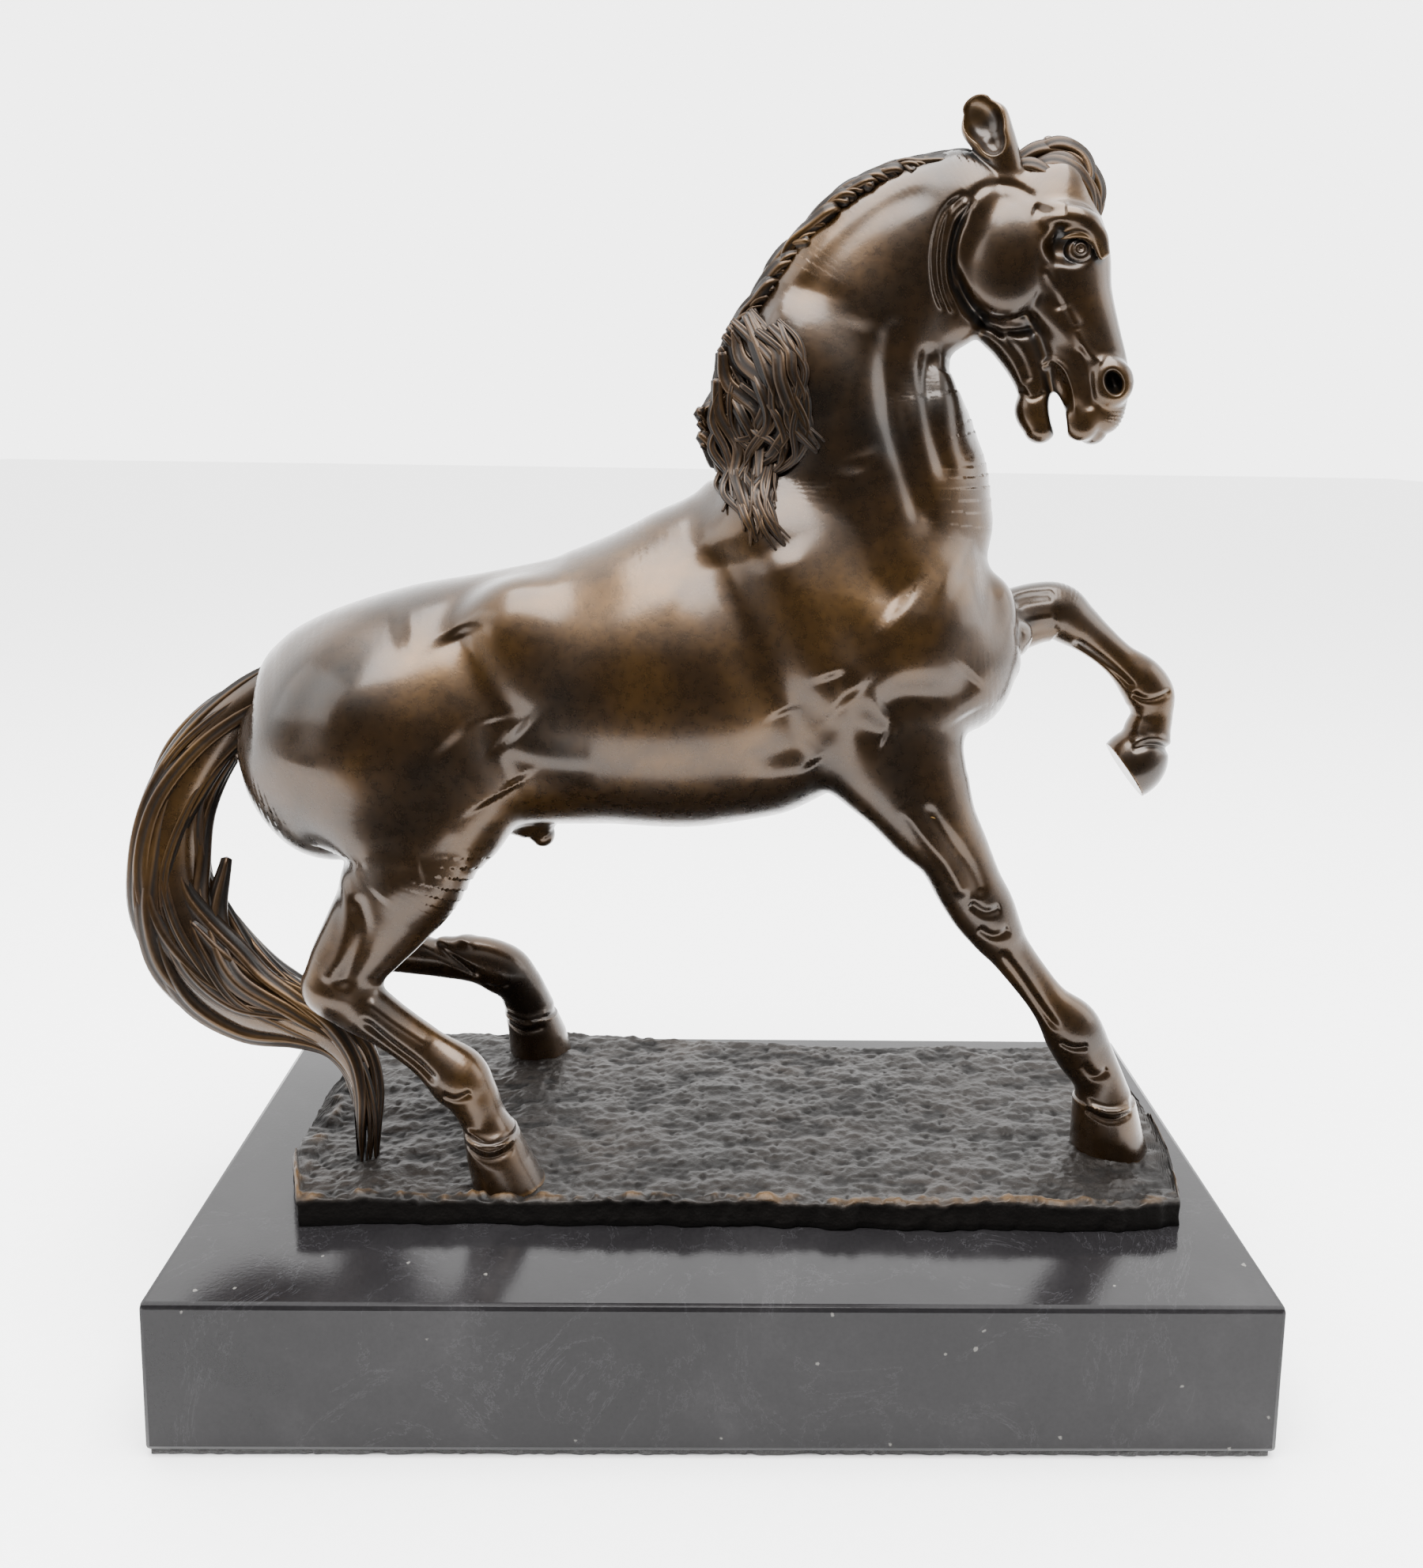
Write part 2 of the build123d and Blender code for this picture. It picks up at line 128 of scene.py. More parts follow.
# ---------------------------------------------------------------- the solid as a distance
def tube(rows, egg=0.0, blend=0.0, steps=8, cap=1.0):
    """Distance to a tube: rows give x, y, height, half size in the profile and half width.

    A point finds its nearest place on the curve, then its offset there, over the section's
    half sizes, gives the ratio to the surface. Egg narrows the section on its upper side.
    """
    count = (len(rows) - 1) * steps + 1
    samples = spline(rows, count)
    centre = samples[:, :3]
    along = np.gradient(centre, axis=0)
    pace = np.linalg.norm(along, axis=1)
    along = unit(along)
    across = unit(np.stack([-along[:, 2], np.zeros(count), along[:, 0]], 1))
    side = np.cross(along, across)
    packed = np.hstack([centre, along, across, side, samples[:, 3:5], pace[:, None]])
    reach = samples[:, 3:5].max() + 14.0
    low, high = centre.min(0) - reach, centre.max(0) + reach
    norms = (centre**2).sum(1)

    def distance(points):
        out = np.full(len(points), FAR)
        inside = ((points > low) & (points < high)).all(1)
        p = points[inside]
        if not len(p):
            return out
        at = np.empty(len(p))
        for start in range(0, len(p), 60000):
            part = p[start:start + 60000]
            at[start:start + 60000] = np.argmin(norms - 2 * part @ centre.T, 1)
        for _ in range(2):
            index = np.clip(at.astype(int), 0, count - 2)
            t = np.clip(at - index, 0, 1)[:, None]
            row = packed[index] * (1 - t) + packed[index + 1] * t
            offset = p - row[:, :3]
            step = (offset * row[:, 3:6]).sum(1)
            at = np.clip(at + np.clip(step / row[:, 14], -0.9, 0.9), 0, count - 1.001)
        index = np.clip(at.astype(int), 0, count - 2)
        t = np.clip(at - index, 0, 1)[:, None]
        row = packed[index] * (1 - t) + packed[index + 1] * t
        offset = p - row[:, :3]
        over = np.where((at < 0.01) | (at > count - 1.02), (offset * row[:, 3:6]).sum(1), 0.0)
        u = (offset * row[:, 6:9]).sum(1)
        v = (offset * row[:, 9:12]).sum(1)
        a, b = row[:, 12], row[:, 13]
        b = b * (1 - egg * np.clip(u / a, -1.2, 1.2))
        ratio = np.sqrt((u / a)**2 + (v / b)**2 + (over / (cap * np.minimum(a, b)))**2) + 1e-6
        size = np.sqrt(u**2 + v**2 + over**2) / ratio
        size = np.where(ratio < 0.05, np.minimum(a, b), size)
        out[inside] = (ratio - 1) * size
        return out

    return distance, blend


def ball(centre, radii, tilt=0.0, turn=0.0, blend=4.0):
    """Distance to an ellipsoid, tilted in the profile plane and then turned about the vertical."""
    tilt, turn = math.radians(tilt), math.radians(turn)
    ct, st, cz, sz = math.cos(tilt), math.sin(tilt), math.cos(turn), math.sin(turn)
    axes = np.array([[ct * cz, ct * sz, st], [-sz, cz, 0], [-st * cz, -st * sz, ct]])
    centre, radii = np.array(centre, float), np.array(radii, float)
    reach = radii.max() + 12.0

    def distance(points):
        out = np.full(len(points), FAR)
        near = (np.abs(points - centre) < reach).all(1)
        q = (points[near] - centre) @ axes.T
        k0 = np.linalg.norm(q / radii, axis=1) + 1e-6
        k1 = np.linalg.norm(q / radii**2, axis=1) + 1e-9
        out[near] = k0 * (k0 - 1) / k1
        return out

    return distance, blend


def pair(x, y, z, radii, tilt=0.0, turn=0.0, blend=4.0, axis=AXIS_Y):
    """The same muscle on the right and the left, y being its distance from the middle."""
    return [ball((x, axis - y, z), radii, tilt, turn, blend),
            ball((x, axis + y, z), radii, tilt, -turn, blend)]


def join(shapes, points):
    """Soft union: where two surfaces are closer than the blend, they flow together."""
    total = np.full(len(points), FAR)
    for distance, blend in shapes:
        other = distance(points)
        if blend <= 0:
            total = np.minimum(total, other)
            continue
        h = np.clip(0.5 + 0.5 * (other - total) / blend, 0, 1)
        total = other * (1 - h) + total * h - blend * h * (1 - h)
    return total


def stroke(route, width, height, side=0, taper=True):
    """A soft ridge, or groove where the height is negative, along a route in the profile.

    The height falls off with the distance from the route as a bell curve of that width.
    Side -1 keeps it to the horse's right, +1 to its left.
    """
    samples = spline(route, max(12, 6 * len(route)))
    ways = np.gradient(samples, axis=0)
    gaps = np.linalg.norm(ways, axis=1)
    ways = unit(ways)
    low, high = samples.min(0) - 3 * width, samples.max(0) + 3 * width
    places = np.linspace(0, 1, len(samples))

    def lift(points, axis):
        out = np.zeros(len(points))
        inside = ((points[:, 0] > low[0]) & (points[:, 0] < high[0])
                  & (points[:, 2] > low[1]) & (points[:, 2] < high[1]))
        if side:
            inside &= (points[:, 1] - axis) * side > -1.0
        if not inside.any():
            return out
        p = points[inside][:, (0, 2)]
        square = (p**2).sum(1)[:, None] - 2 * p @ samples.T + (samples**2).sum(1)
        nearest = square.argmin(1)
        offset = p - samples[nearest]
        ahead = (offset * ways[nearest]).sum(1)
        ahead = np.clip(ahead, -gaps[nearest], gaps[nearest])
        apart = (offset**2).sum(1) - ahead**2
        amount = np.exp(-np.maximum(apart, 0) / width**2)
        place = places[nearest] + ahead / gaps[nearest] / (len(samples) - 1)
        if taper:
            amount *= smooth(4.0 * (1 - np.abs(2 * place - 1)))
        if side:
            amount *= smooth((points[inside][:, 1] - axis) * side / 5.0 + 0.2)
        out[inside] = height * amount
        return out

    return lift


# ---------------------------------------------------------------- the horse's tables
# x, y, height over the ground, half size in the profile, half width, as on the castings
TRUNK = [
    (-146, 8, 119, 5, 7), (-142, 8, 119.5, 14, 18), (-134.5, 8, 120, 23.5, 27),
    (-124, 8, 123, 31.2, 33), (-108, 8, 128, 35.4, 36.5), (-88, 8, 132, 38, 36),
    (-65, 7.5, 135.3, 39.2, 31.5), (-40, 7, 138.6, 41.9, 33), (-15, 6, 143.4, 47.6, 34.5),
    (10, 5, 150.6, 50, 32.5), (35, 4.5, 154, 43.5, 30), (58, 4, 153.5, 34.5, 29.5),
    (75, 4, 153.8, 26, 25), (85, 4, 155.5, 14, 15), (88.5, 4, 156.5, 6, 7),
]
NECK = [
    (34, 4, 172, 42, 25), (39, 4, 197, 41, 22), (38.5, 3.5, 212.5, 36.5, 19),
    (35.6, 3, 227.5, 30.6, 17), (36.2, 2.5, 241, 28.8, 15.5), (40.6, 2, 252, 27.4, 14.8),
    (47.5, 1.5, 261.5, 25.2, 14), (54, 1, 270, 21.5, 13.5), (61.5, 0, 278, 17.5, 12.5),
    (70, -1, 284.5, 13, 11.5), (77, -1.5, 287, 9, 9),
]
SKULL = [
    (76, 0, 288, 8, 8), (84, 0, 283, 12, 11), (91, 0, 275, 15.5, 12.8), (95.5, 0, 266, 14.8, 12.6),
    (99, 0, 255.5, 12.3, 10), (102.5, 0, 245, 11.4, 8.2), (105.4, 0, 236, 11, 7.4),
    (107.4, 0, 229, 9.9, 7.4), (108.4, 0, 223.5, 7.4, 6.4), (107.2, 0, 219.4, 4.4, 4.8),
]
JAW = [
    (77, 0, 262, 11, 7.5), (80, 0, 252, 9.5, 7.5), (84.5, 0, 244.5, 7.6, 6.8), (88.3, 0, 237, 6, 5.8),
    (90.4, 0, 230, 4.8, 5), (90.6, 0, 224.5, 5.6, 5.4), (92.4, 0, 219.6, 4.6, 4.8),
]
RIGHT_FORELEG = [
    (49, -11, 132, 20, 12), (55, -13, 118, 18.5, 12), (62, -15, 105, 14.2, 11.2),
    (69, -15, 95, 11, 9.8), (74.5, -15, 84.3, 10, 8.8), (79.3, -14.8, 76.5, 9.5, 8.4),
    (84, -14.5, 69, 7.8, 7.4), (88, -14.2, 63.5, 6.4, 6), (95.4, -13.5, 54, 5.8, 4.8),
    (101, -13, 47, 6.2, 5.2), (107.5, -12.5, 39.5, 8.8, 7.2), (112.3, -12, 31, 8.6, 6.8),
    (117, -11.5, 23, 7.6, 6.6), (119.4, -11, 16, 8.4, 7.8),
]
LEFT_FORELEG = [
    (70, 18, 153, 11, 11), (82, 20, 156, 10.5, 10), (91, 21.5, 158.8, 10.2, 9),
    (100, 22, 161.6, 9.7, 8.4), (106.6, 22, 161.8, 9.3, 8), (112.5, 22, 158.2, 7.6, 7),
    (119.5, 22, 153, 6, 5.4), (126.8, 22, 147, 5.6, 5), (133.4, 22, 141.3, 7.4, 6.6),
    (137.4, 22, 135.5, 7.8, 6.8), (138.4, 22, 129.3, 6.6, 6), (137.4, 22, 124, 7.4, 7),
]
RIGHT_THIGH = [
    (-90, -10, 124, 26, 16), (-91, -15, 104, 25, 16), (-91.5, -19, 89, 18.5, 14.5),
    (-97, -21, 78.5, 15.4, 12), (-102.5, -23, 70.5, 13.2, 10), (-108, -25.5, 62.5, 11, 8.4),
    (-111, -26.5, 56.5, 9.4, 7.2),
]
RIGHT_SHIN = [
    (-113, -26.8, 56, 7, 6.4), (-105.5, -27, 51.6, 8.2, 6.6), (-94.2, -28, 44.3, 6.9, 5.6),
    (-84, -29, 37.2, 7, 5.6), (-75.5, -30, 30.5, 8.8, 7.6), (-71, -30.3, 24.4, 7.4, 6.7),
    (-68.2, -30.5, 18.3, 6.6, 6.4), (-66.3, -30.5, 14, 7.2, 7.4),
]
LEFT_THIGH = [
    (-90, 24, 118, 24, 15), (-92, 26, 98, 23, 15), (-98, 28.5, 82.5, 15.5, 12.6),
    (-106, 31.5, 69, 12.2, 10.4), (-114, 34.5, 57.5, 10, 8.6), (-122, 38, 48.5, 8.6, 7.4),
]
LEFT_SHIN = [
    (-124, 38.5, 45.5, 7.2, 6.8), (-117, 40, 42.2, 7.6, 6.8), (-105, 42, 39.4, 7, 5.8),
    (-92, 44.5, 37, 7.2, 5.8), (-81, 47, 35, 8.2, 7), (-73, 49, 30.6, 8.8, 7.8),
    (-68.2, 50.5, 25, 7.8, 7), (-65.8, 52, 19, 8, 7.4), (-64.6, 53, 15, 8.4, 8),
]
HEAD_YAW = math.radians(16.0)
HEAD_PIVOT = (78.0, 0.0)


def head_frame(points):
    """Points in the head's own frame, where its profile is not turned."""
    c, s = math.cos(HEAD_YAW), math.sin(HEAD_YAW)
    x, y = points[:, 0] - HEAD_PIVOT[0], points[:, 1] - HEAD_PIVOT[1]
    return np.stack([x * c - y * s + HEAD_PIVOT[0], x * s + y * c + HEAD_PIVOT[1], points[:, 2]], 1)


def level_cone(rows, floor, blend=1.5):
    """Distance to a stack of level ellipses between rows, cut flat at the floor."""
    rows = np.asarray(rows, float)

    def distance(points):
        out = np.full(len(points), FAR)
        near = ((np.abs(points[:, 0] - rows[:, 0].mean()) < 26)
                & (np.abs(points[:, 1] - rows[:, 1].mean()) < 24)
                & (points[:, 2] < rows[:, 2].max() + 14) & (points[:, 2] > floor - 14))
        p = points[near]
        order = np.argsort(rows[:, 2])
        values = [np.interp(p[:, 2], rows[order, 2], rows[order, k]) for k in (0, 1, 3, 4)]
        u, v = p[:, 0] - values[0], p[:, 1] - values[1]
        ratio = np.sqrt((u / values[2])**2 + (v / values[3])**2) + 1e-6
        wall = (ratio - 1) * np.sqrt(u**2 + v**2) / ratio
        top = p[:, 2] - rows[:, 2].max()
        out[near] = np.maximum(np.maximum(wall, top), floor - p[:, 2])
        return out

    return distance, blend


# ---------------------------------------------------------------- muscles and bones
def trunk_masses():
    """Haunch, hip, barrel, shoulder, breast and withers over the trunk."""
    shapes = []
    shapes += pair(-103, 15, 128, (28, 23, 28), 25, 0, 7, 8)
    shapes += pair(-112.5, 13, 110.5, (25, 17, 22), 25, 0, 7, 8)
    shapes += pair(-79, 19, 114, (14, 13, 25), 25, 0, 8, 8)
    shapes += pair(-54, 15, 160.5, (16, 9, 12), -15, 0, 9, 7)
    shapes += pair(-61, 18, 153, (15, 9, 14), 10, 0, 10, 7)
    shapes += pair(-18, 6, 143, (48, 31, 37), 4, 0, 9, 6)
    shapes += pair(22, 14, 165, (19, 17, 40), 28, 0, 8, 4.5)
    shapes += pair(33, 20, 147, (20, 13, 15), -32, 0, 6, 4.5)
    shapes += pair(54, 14, 158, (24, 18, 17), 38, 0, 6, 4.5)
    shapes += pair(78, 8, 158, (9, 11, 17), -12, 0, 6, 4)
    shapes += pair(14, 5, 186, (18, 9, 13), -35, 0, 8, 5)
    shapes += pair(46, 14, 124, (16, 10, 17), -35, 0, 6, 4)
    return shapes


def neck_masses():
    """The crest, the long neck muscles and the windpipe."""
    shapes = [tube([(6, 3, 213, 6, 6), (10, 3, 234, 6, 6), (20, 2, 254, 6, 6), (33, 1.5, 271, 6, 6),
                    (48, 1, 283, 6, 6), (64, 0, 290, 6, 6)], blend=7),
              tube([(70, 3, 190, 9, 10), (65, 3, 205, 7.5, 9), (59.5, 2.5, 220, 7, 8),
                    (56.5, 2, 233, 7, 8), (60, 1, 246, 6, 7)], blend=5),
              ball((67.5, -1, 254.5), (8.5, 8, 11.5), 0, 0, 5)]
    shapes += pair(30, 9, 222, (14, 10, 34), 22, 0, 8, 3)
    shapes += pair(50, 9, 205, (12, 9, 32), -24, 0, 7, 3.5)
    return shapes


def head_masses():
    """Skull, jaw, cheeks, brows and muzzle, all in the head's own frame."""
    shapes = [tube(SKULL, egg=0.12), tube(JAW, blend=3.0)]
    shapes += pair(81, 7.2, 267.0, (13.8, 8.8, 17.4), -8, 0, 1.2, 0)
    shapes += [ball((93.5, 0, 283), (10.5, 8.5, 12.5), 0, 0, 3)]
    shapes += pair(98.5, 9.0, 278.0, (8.5, 4.6, 3.6), -12, 8, 2.5, 0)
    shapes += pair(112.2, 4.6, 232.4, (5.2, 4, 5.6), 0, 12, 2.0, 0)
    shapes += pair(96, 5.6, 250, (12, 3.4, 3.2), -38, 0, 3, 0)
    shapes += pair(104, 5, 222, (5, 3.4, 6), 0, 0, 2, 0)
    return shapes


def cut(base, shape, points):
    """The base with a shape scooped out of it, its rim rounded by the shape's blend."""
    distance, blend = shape
    hollow = -distance(points)
    h = np.clip(0.5 + 0.5 * (hollow - base) / blend, 0, 1)
    return base * (1 - h) + hollow * h + blend * h * (1 - h)


TRUNK_SHAPES = [tube(TRUNK, egg=0.10)] + trunk_masses() + [
    tube([(-64, 7, 100, 7, 8), (-57, 7, 95.5, 5.5, 6), (-54.5, 7, 92, 3.6, 4)], blend=5),
    tube(NECK, egg=0.22, blend=12)] + neck_masses() + [
    tube(RIGHT_FORELEG, blend=7), tube(LEFT_FORELEG, blend=6),
    tube(RIGHT_THIGH, blend=9), tube(LEFT_THIGH, blend=9)]
HEAD_SHAPES = head_masses()
SHIN_SHAPES = [
    (RIGHT_SHIN, (-111.2, -26.7, 56.0), (7.8, 6.6, 7.6)),
    (LEFT_SHIN, (-123.6, 38.2, 46.8), (7.4, 6.4, 7.2)),
]
HOOVES = [
    level_cone([(119.8, -11, 15.5, 9.4, 8.6), (121, -10.5, 7, 10.6, 9.8), (122.5, -10, -2, 12, 11)], -2),
    level_cone([(-65.6, -30.5, 13.5, 8, 8.4), (-63.8, -30.3, 7, 9.2, 9.8),
                (-60.6, -30, -2, 10.8, 10.8)], -2),
    level_cone([(-64.2, 53.3, 13.5, 9, 8.8), (-62.4, 54.5, 6.5, 10, 10), (-61, 55, -2, 10.8, 10.8)], -2),
]
RAISED_HOOF = ball((133.2, 22, 113.2), (12.4, 8.8, 10.4), 54, 0, 1.5)
RAISED_SOLE = (np.array([130.6, 22.0, 111.0]), unit(np.array([-0.82, 0.0, -0.57])))
LEG_SHAPES = []
for rows, heel, size in SHIN_SHAPES:
    LEG_SHAPES += [tube(rows, blend=4), ball(heel, size, 0, 0, 3)]


# ---------------------------------------------------------------- folds, tendons and creases
BODY_STROKES = [
    stroke([(-77, 161), (-71, 150), (-63.5, 138.5), (-56, 131)], 6.5, -2.4),
    stroke([(-64, 130), (-58, 125.5), (-47, 122.5), (-34, 122)], 5.0, 0.8),
    stroke([(-66, 136), (-63, 124), (-58, 116)], 5.0, -1.2),
    stroke([(-120, 122), (-116, 142), (-106, 153.5), (-90, 161)], 6, -1.0),
    stroke([(-79, 130), (-69, 119), (-64.5, 111)], 6.5, 1.1),
    stroke([(-105, 92), (-96, 97), (-84, 95), (-72, 99)], 4.5, -0.8),
    stroke([(-96, 84), (-90, 91), (-84, 93)], 4.5, 0.6),
    stroke([(-2, 188), (3, 170), (9, 153), (16, 137), (18, 118)], 9, -2.2),
    stroke([(14, 186), (22, 168), (30, 152), (38, 143)], 8, 1.6),
    stroke([(34, 210), (38, 195), (42, 178), (52, 168)], 7, -2.0),
    stroke([(30, 152), (34, 143), (42, 134), (48, 131)], 4.6, -1.6),
    stroke([(44, 140), (52, 144), (66, 144), (73, 150)], 5.0, -1.3),
    stroke([(17, 140), (22, 130), (28, 122)], 4.0, -0.9),
    stroke([(33, 211), (48, 190), (68, 174)], 8, 1.3),
    stroke([(-50, 183), (-30, 177), (-10, 172)], 7, 0.4),
    stroke([(77, 118), (74, 130), (70, 138)], 4.5, -0.8),
]
NECK_STROKES = [
    stroke([(48, 252), (46, 238), (47.5, 222), (52, 206), (58, 188)], 3.6, -1.9),
    stroke([(58, 244), (57, 232), (59, 218), (64, 203)], 2.8, -1.3),
    stroke([(40, 250), (37, 236), (38, 220), (43, 202)], 6.0, 0.7),
    stroke([(59, 286), (44, 280), (30, 268), (19, 252), (13, 236)], 3.6, -0.6),
    stroke([(26, 262), (22, 248), (22, 232), (26, 216)], 9, -0.7),
    stroke([(66.5, 285), (62, 279), (60, 269), (61, 259), (65.5, 250)], 1.1, -1.3),
    stroke([(64.5, 284), (59.6, 278), (57.4, 268), (58.6, 258), (62, 251)], 0.9, -0.9),
    stroke([(69, 283), (65, 276), (63.2, 267), (64.8, 257)], 0.9, -0.9),
]
LEG_STROKES = [
    stroke([(58, 113), (66, 102), (73, 92), (77, 83)], 2.2, -1.1),
    stroke([(52, 112), (60, 101), (67, 92), (72, 83)], 1.8, 0.8),
    stroke([(73, 82), (78, 79), (83, 80)], 1.4, -0.8),
    stroke([(76, 74), (81, 71.5), (86, 73.5)], 1.4, -0.7),
    stroke([(83, 67), (90, 58), (97, 48), (103, 40)], 1.3, -0.9),
    stroke([(103, 37), (107, 35.5), (112, 36)], 1.0, -0.6),
    stroke([(110, 30), (114, 26), (119, 28)], 1.4, -0.6),
    stroke([(112, 17.5), (119, 15), (127, 16.5)], 1.1, 0.7),
    stroke([(112, 14.6), (119, 12.6), (127, 14)], 0.9, -0.6),
    stroke([(-110, 92), (-106, 80), (-108, 68), (-113, 60)], 2.2, 0.8),
    stroke([(-104, 86), (-101, 76), (-104, 66), (-108, 58)], 2.2, -1.0),
    stroke([(-103, 50), (-94, 42), (-86, 36), (-80, 31)], 1.4, -1.1),
    stroke([(-101, 55), (-92, 48), (-82, 41.5)], 1.4, 0.6),
    stroke([(-79, 28), (-75, 27), (-70, 29)], 1.1, -0.6),
    stroke([(-74, 15.5), (-66, 12.5), (-58, 14)], 1.0, 0.7),
    stroke([(-74, 12.6), (-66, 10), (-58, 11.5)], 0.9, -0.6),
    stroke([(-73, 17), (-65, 15), (-57, 16)], 1.0, 0.6),
    stroke([(88, 164.5), (95, 167), (104, 168)], 1.6, -0.6),
    stroke([(89, 158.5), (96, 161), (104, 162)], 1.6, 0.4),
    stroke([(90, 153), (98, 156.5), (106, 158)], 1.6, -0.5),
    stroke([(110, 154), (118, 149), (126, 143), (131, 138)], 1.2, -0.8),
    stroke([(130, 137), (135, 135.5), (143, 138)], 1.0, -0.7),
    stroke([(130, 121.5), (138, 123), (146.5, 119.5)], 1.1, 0.7),
    stroke([(130, 119), (138, 120.5), (145.5, 117)], 0.9, -0.6),
]
HEAD_STROKES = [
    stroke([(71, 281), (67, 274), (66.4, 265), (69.5, 256.5), (75, 250.5), (83, 247.5), (92, 248.5)],
           2.2, -2.5),
    stroke([(70, 281), (75, 286), (82, 286.5), (90, 282)], 1.6, -0.8),
    stroke([(96.5, 277), (94.5, 268), (96, 258), (98, 252)], 2.0, -0.9),
    stroke([(92, 265), (98, 255), (102.6, 247.3)], 1.5, 0.8),
    stroke([(101, 248), (105, 241), (110, 238)], 1.3, 0.5),
    stroke([(92, 236), (95, 238.5), (99, 236), (101.5, 230), (103, 222)], 1.1, 0.8),
    stroke([(102, 243), (106, 233), (106.5, 224)], 1.4, -0.6),
    stroke([(79, 248), (86, 240), (89.5, 232)], 1.4, -0.8),
    stroke([(86, 231), (90, 228), (94, 230)], 1.0, -0.5),
    stroke([(88, 280), (93, 279), (98, 279.5)], 1.6, -0.7),
]
EYE = (101.0, 8.9, 268.8)
NOSTRIL = (112.0, 6.4, 232.8)
MOUTH_GAPS = [ball((97.6, 0, 222.5), (2.3, 30, 7.4), 14, 0, 0.8),
              ball((97.2, 7.5, 229.0), (3.4, 4, 6.0), 12, 0, 1.0),
              ball((97.2, -7.5, 229.0), (3.4, 4, 6.0), 12, 0, 1.0)]


def lifted(strokes, points, axis):
    """All strokes of a list added up."""
    total = np.zeros(len(points))
    for lift in strokes:
        total += lift(points, axis)
    return total


def eye_detail(points, base):
    """A socket scooped out, an eyeball with iris and pupil, and two thick lids over it."""
    for sign in (-1, 1):
        centre = np.array([EYE[0], sign * EYE[1], EYE[2]])
        near = np.linalg.norm(points - centre, axis=1) < 16
        if not near.any():
            continue
        p, f = points[near], base[near]
        socket = ball(centre + (-1.4, sign * 4.6, 0.2), (7.8, 5.2, 5.0), -18, 0, 2.2)
        f = cut(f, socket, p)
        eyeball = ball(centre + (0, -sign * 1.8, 0), (4.3, 4.2, 4.2), 0, 0, 0.3)
        f = join([(lambda q, f=f: f, 0), eyeball], p)
        for lid, size, out in ((3.9, 0.85, -0.8), (6.0, 0.8, 0.0)):
            steps = [(-9.5, -0.8, 0.4 + lid * 0.3, 0.5), (-4.6, 2.0 + out, 0.2 + lid * 0.75, size),
                     (-0.2, 2.9 + out, lid, size), (3.8, 1.9 + out, -0.2 + lid * 0.7, size),
                     (6.4, out, -2.0, 0.5)]
            rows = [(*(centre + (dx, sign * dy, dz)), half, half) for dx, dy, dz, half in steps]
            f = join([(lambda q, f=f: f, 0), tube(rows, blend=0.7)], p)
        steps = [(-12, -0.5, 5.5, 1.4), (-7, 2.6, 8.4, 2.2), (0.5, 2.6, 8.0, 2.3), (5.5, 0.6, 4.4, 2.0),
                 (7.5, -1.0, -0.5, 1.2)]
        rows = [(*(centre + (dx, sign * dy, dz)), half, half) for dx, dy, dz, half in steps]
        brow = tube(rows, blend=2.0)
        f = join([(lambda q, f=f: f, 0), brow], p)
        front = centre + (0.8, sign * 2.3, 0.3)
        ring = np.linalg.norm((p - front) * (1, 0.5, 1), axis=1)
        on_side = (p[:, 1] * sign > 6)
        f = f + on_side * (0.4 * np.exp(-((ring - 2.1) / 0.4)**2) + 1.0 * np.exp(-(ring / 0.8)**2))
        base[near] = f
    return base


def nostril_detail(points, base):
    """A thick flared ring round each nostril and a deep hole in it."""
    for sign in (-1, 1):
        centre = np.array([NOSTRIL[0], sign * NOSTRIL[1], NOSTRIL[2]])
        near = np.linalg.norm(points - centre, axis=1) < 13
        if not near.any():
            continue
        p, f = points[near], base[near]
        turn = np.linspace(0, 2 * math.pi, 13)
        rows = [(centre[0] + 3.5 * math.cos(t), centre[1] + sign * (-0.9 - 1.0 * math.cos(t)),
                 centre[2] + 4.1 * math.sin(t), 1.7, 1.7) for t in turn]
        f = join([(lambda q, f=f: f, 0), tube(rows, blend=3.4)], p)
        f = cut(f, ball(centre + (0.7, sign * 1.8, -0.3), (2.3, 4.8, 3.4), 24, 0, 1.5), p)
        base[near] = f
    return base


def ears(points, base):
    """Two leaf-shaped ears: a thick tube each, scooped out on its open side."""
    near = points[:, 2] > 280
    if not near.any():
        return base
    p, f = points[near], base[near]
    right = tube([(81.2, -4.4, 286, 4.9, 4.4), (79.4, -5.4, 293, 5.2, 4.6), (76.4, -6.6, 299.5, 6.1, 5),
                  (73.4, -7.4, 305, 6.8, 4.6), (71.4, -7.9, 308.8, 4.2, 3.0)], blend=1.2)
    left = tube([(85, 7.6, 286, 4.2, 4.2), (87.5, 9.2, 293, 4.4, 4.2), (89.8, 10.4, 299, 3.6, 3.4),
                 (90.6, 10.8, 302, 1.8, 1.8)], blend=1.2)
    f = join([(lambda q: f, 0), right, left], p)
    f = cut(f, ball((73.2, -11.0, 304.8), (5.6, 6.0, 7.4), 30, 0, 0.8), p)
    f = cut(f, ball((75.8, -11.2, 299.6), (3.8, 4.8, 5.0), 30, 0, 0.8), p)
    f = cut(f, ball((88.4, 5.4, 296.0), (2.2, 3.4, 5.2), -20, 0, 0.7), p)
    base[near] = f
    return base


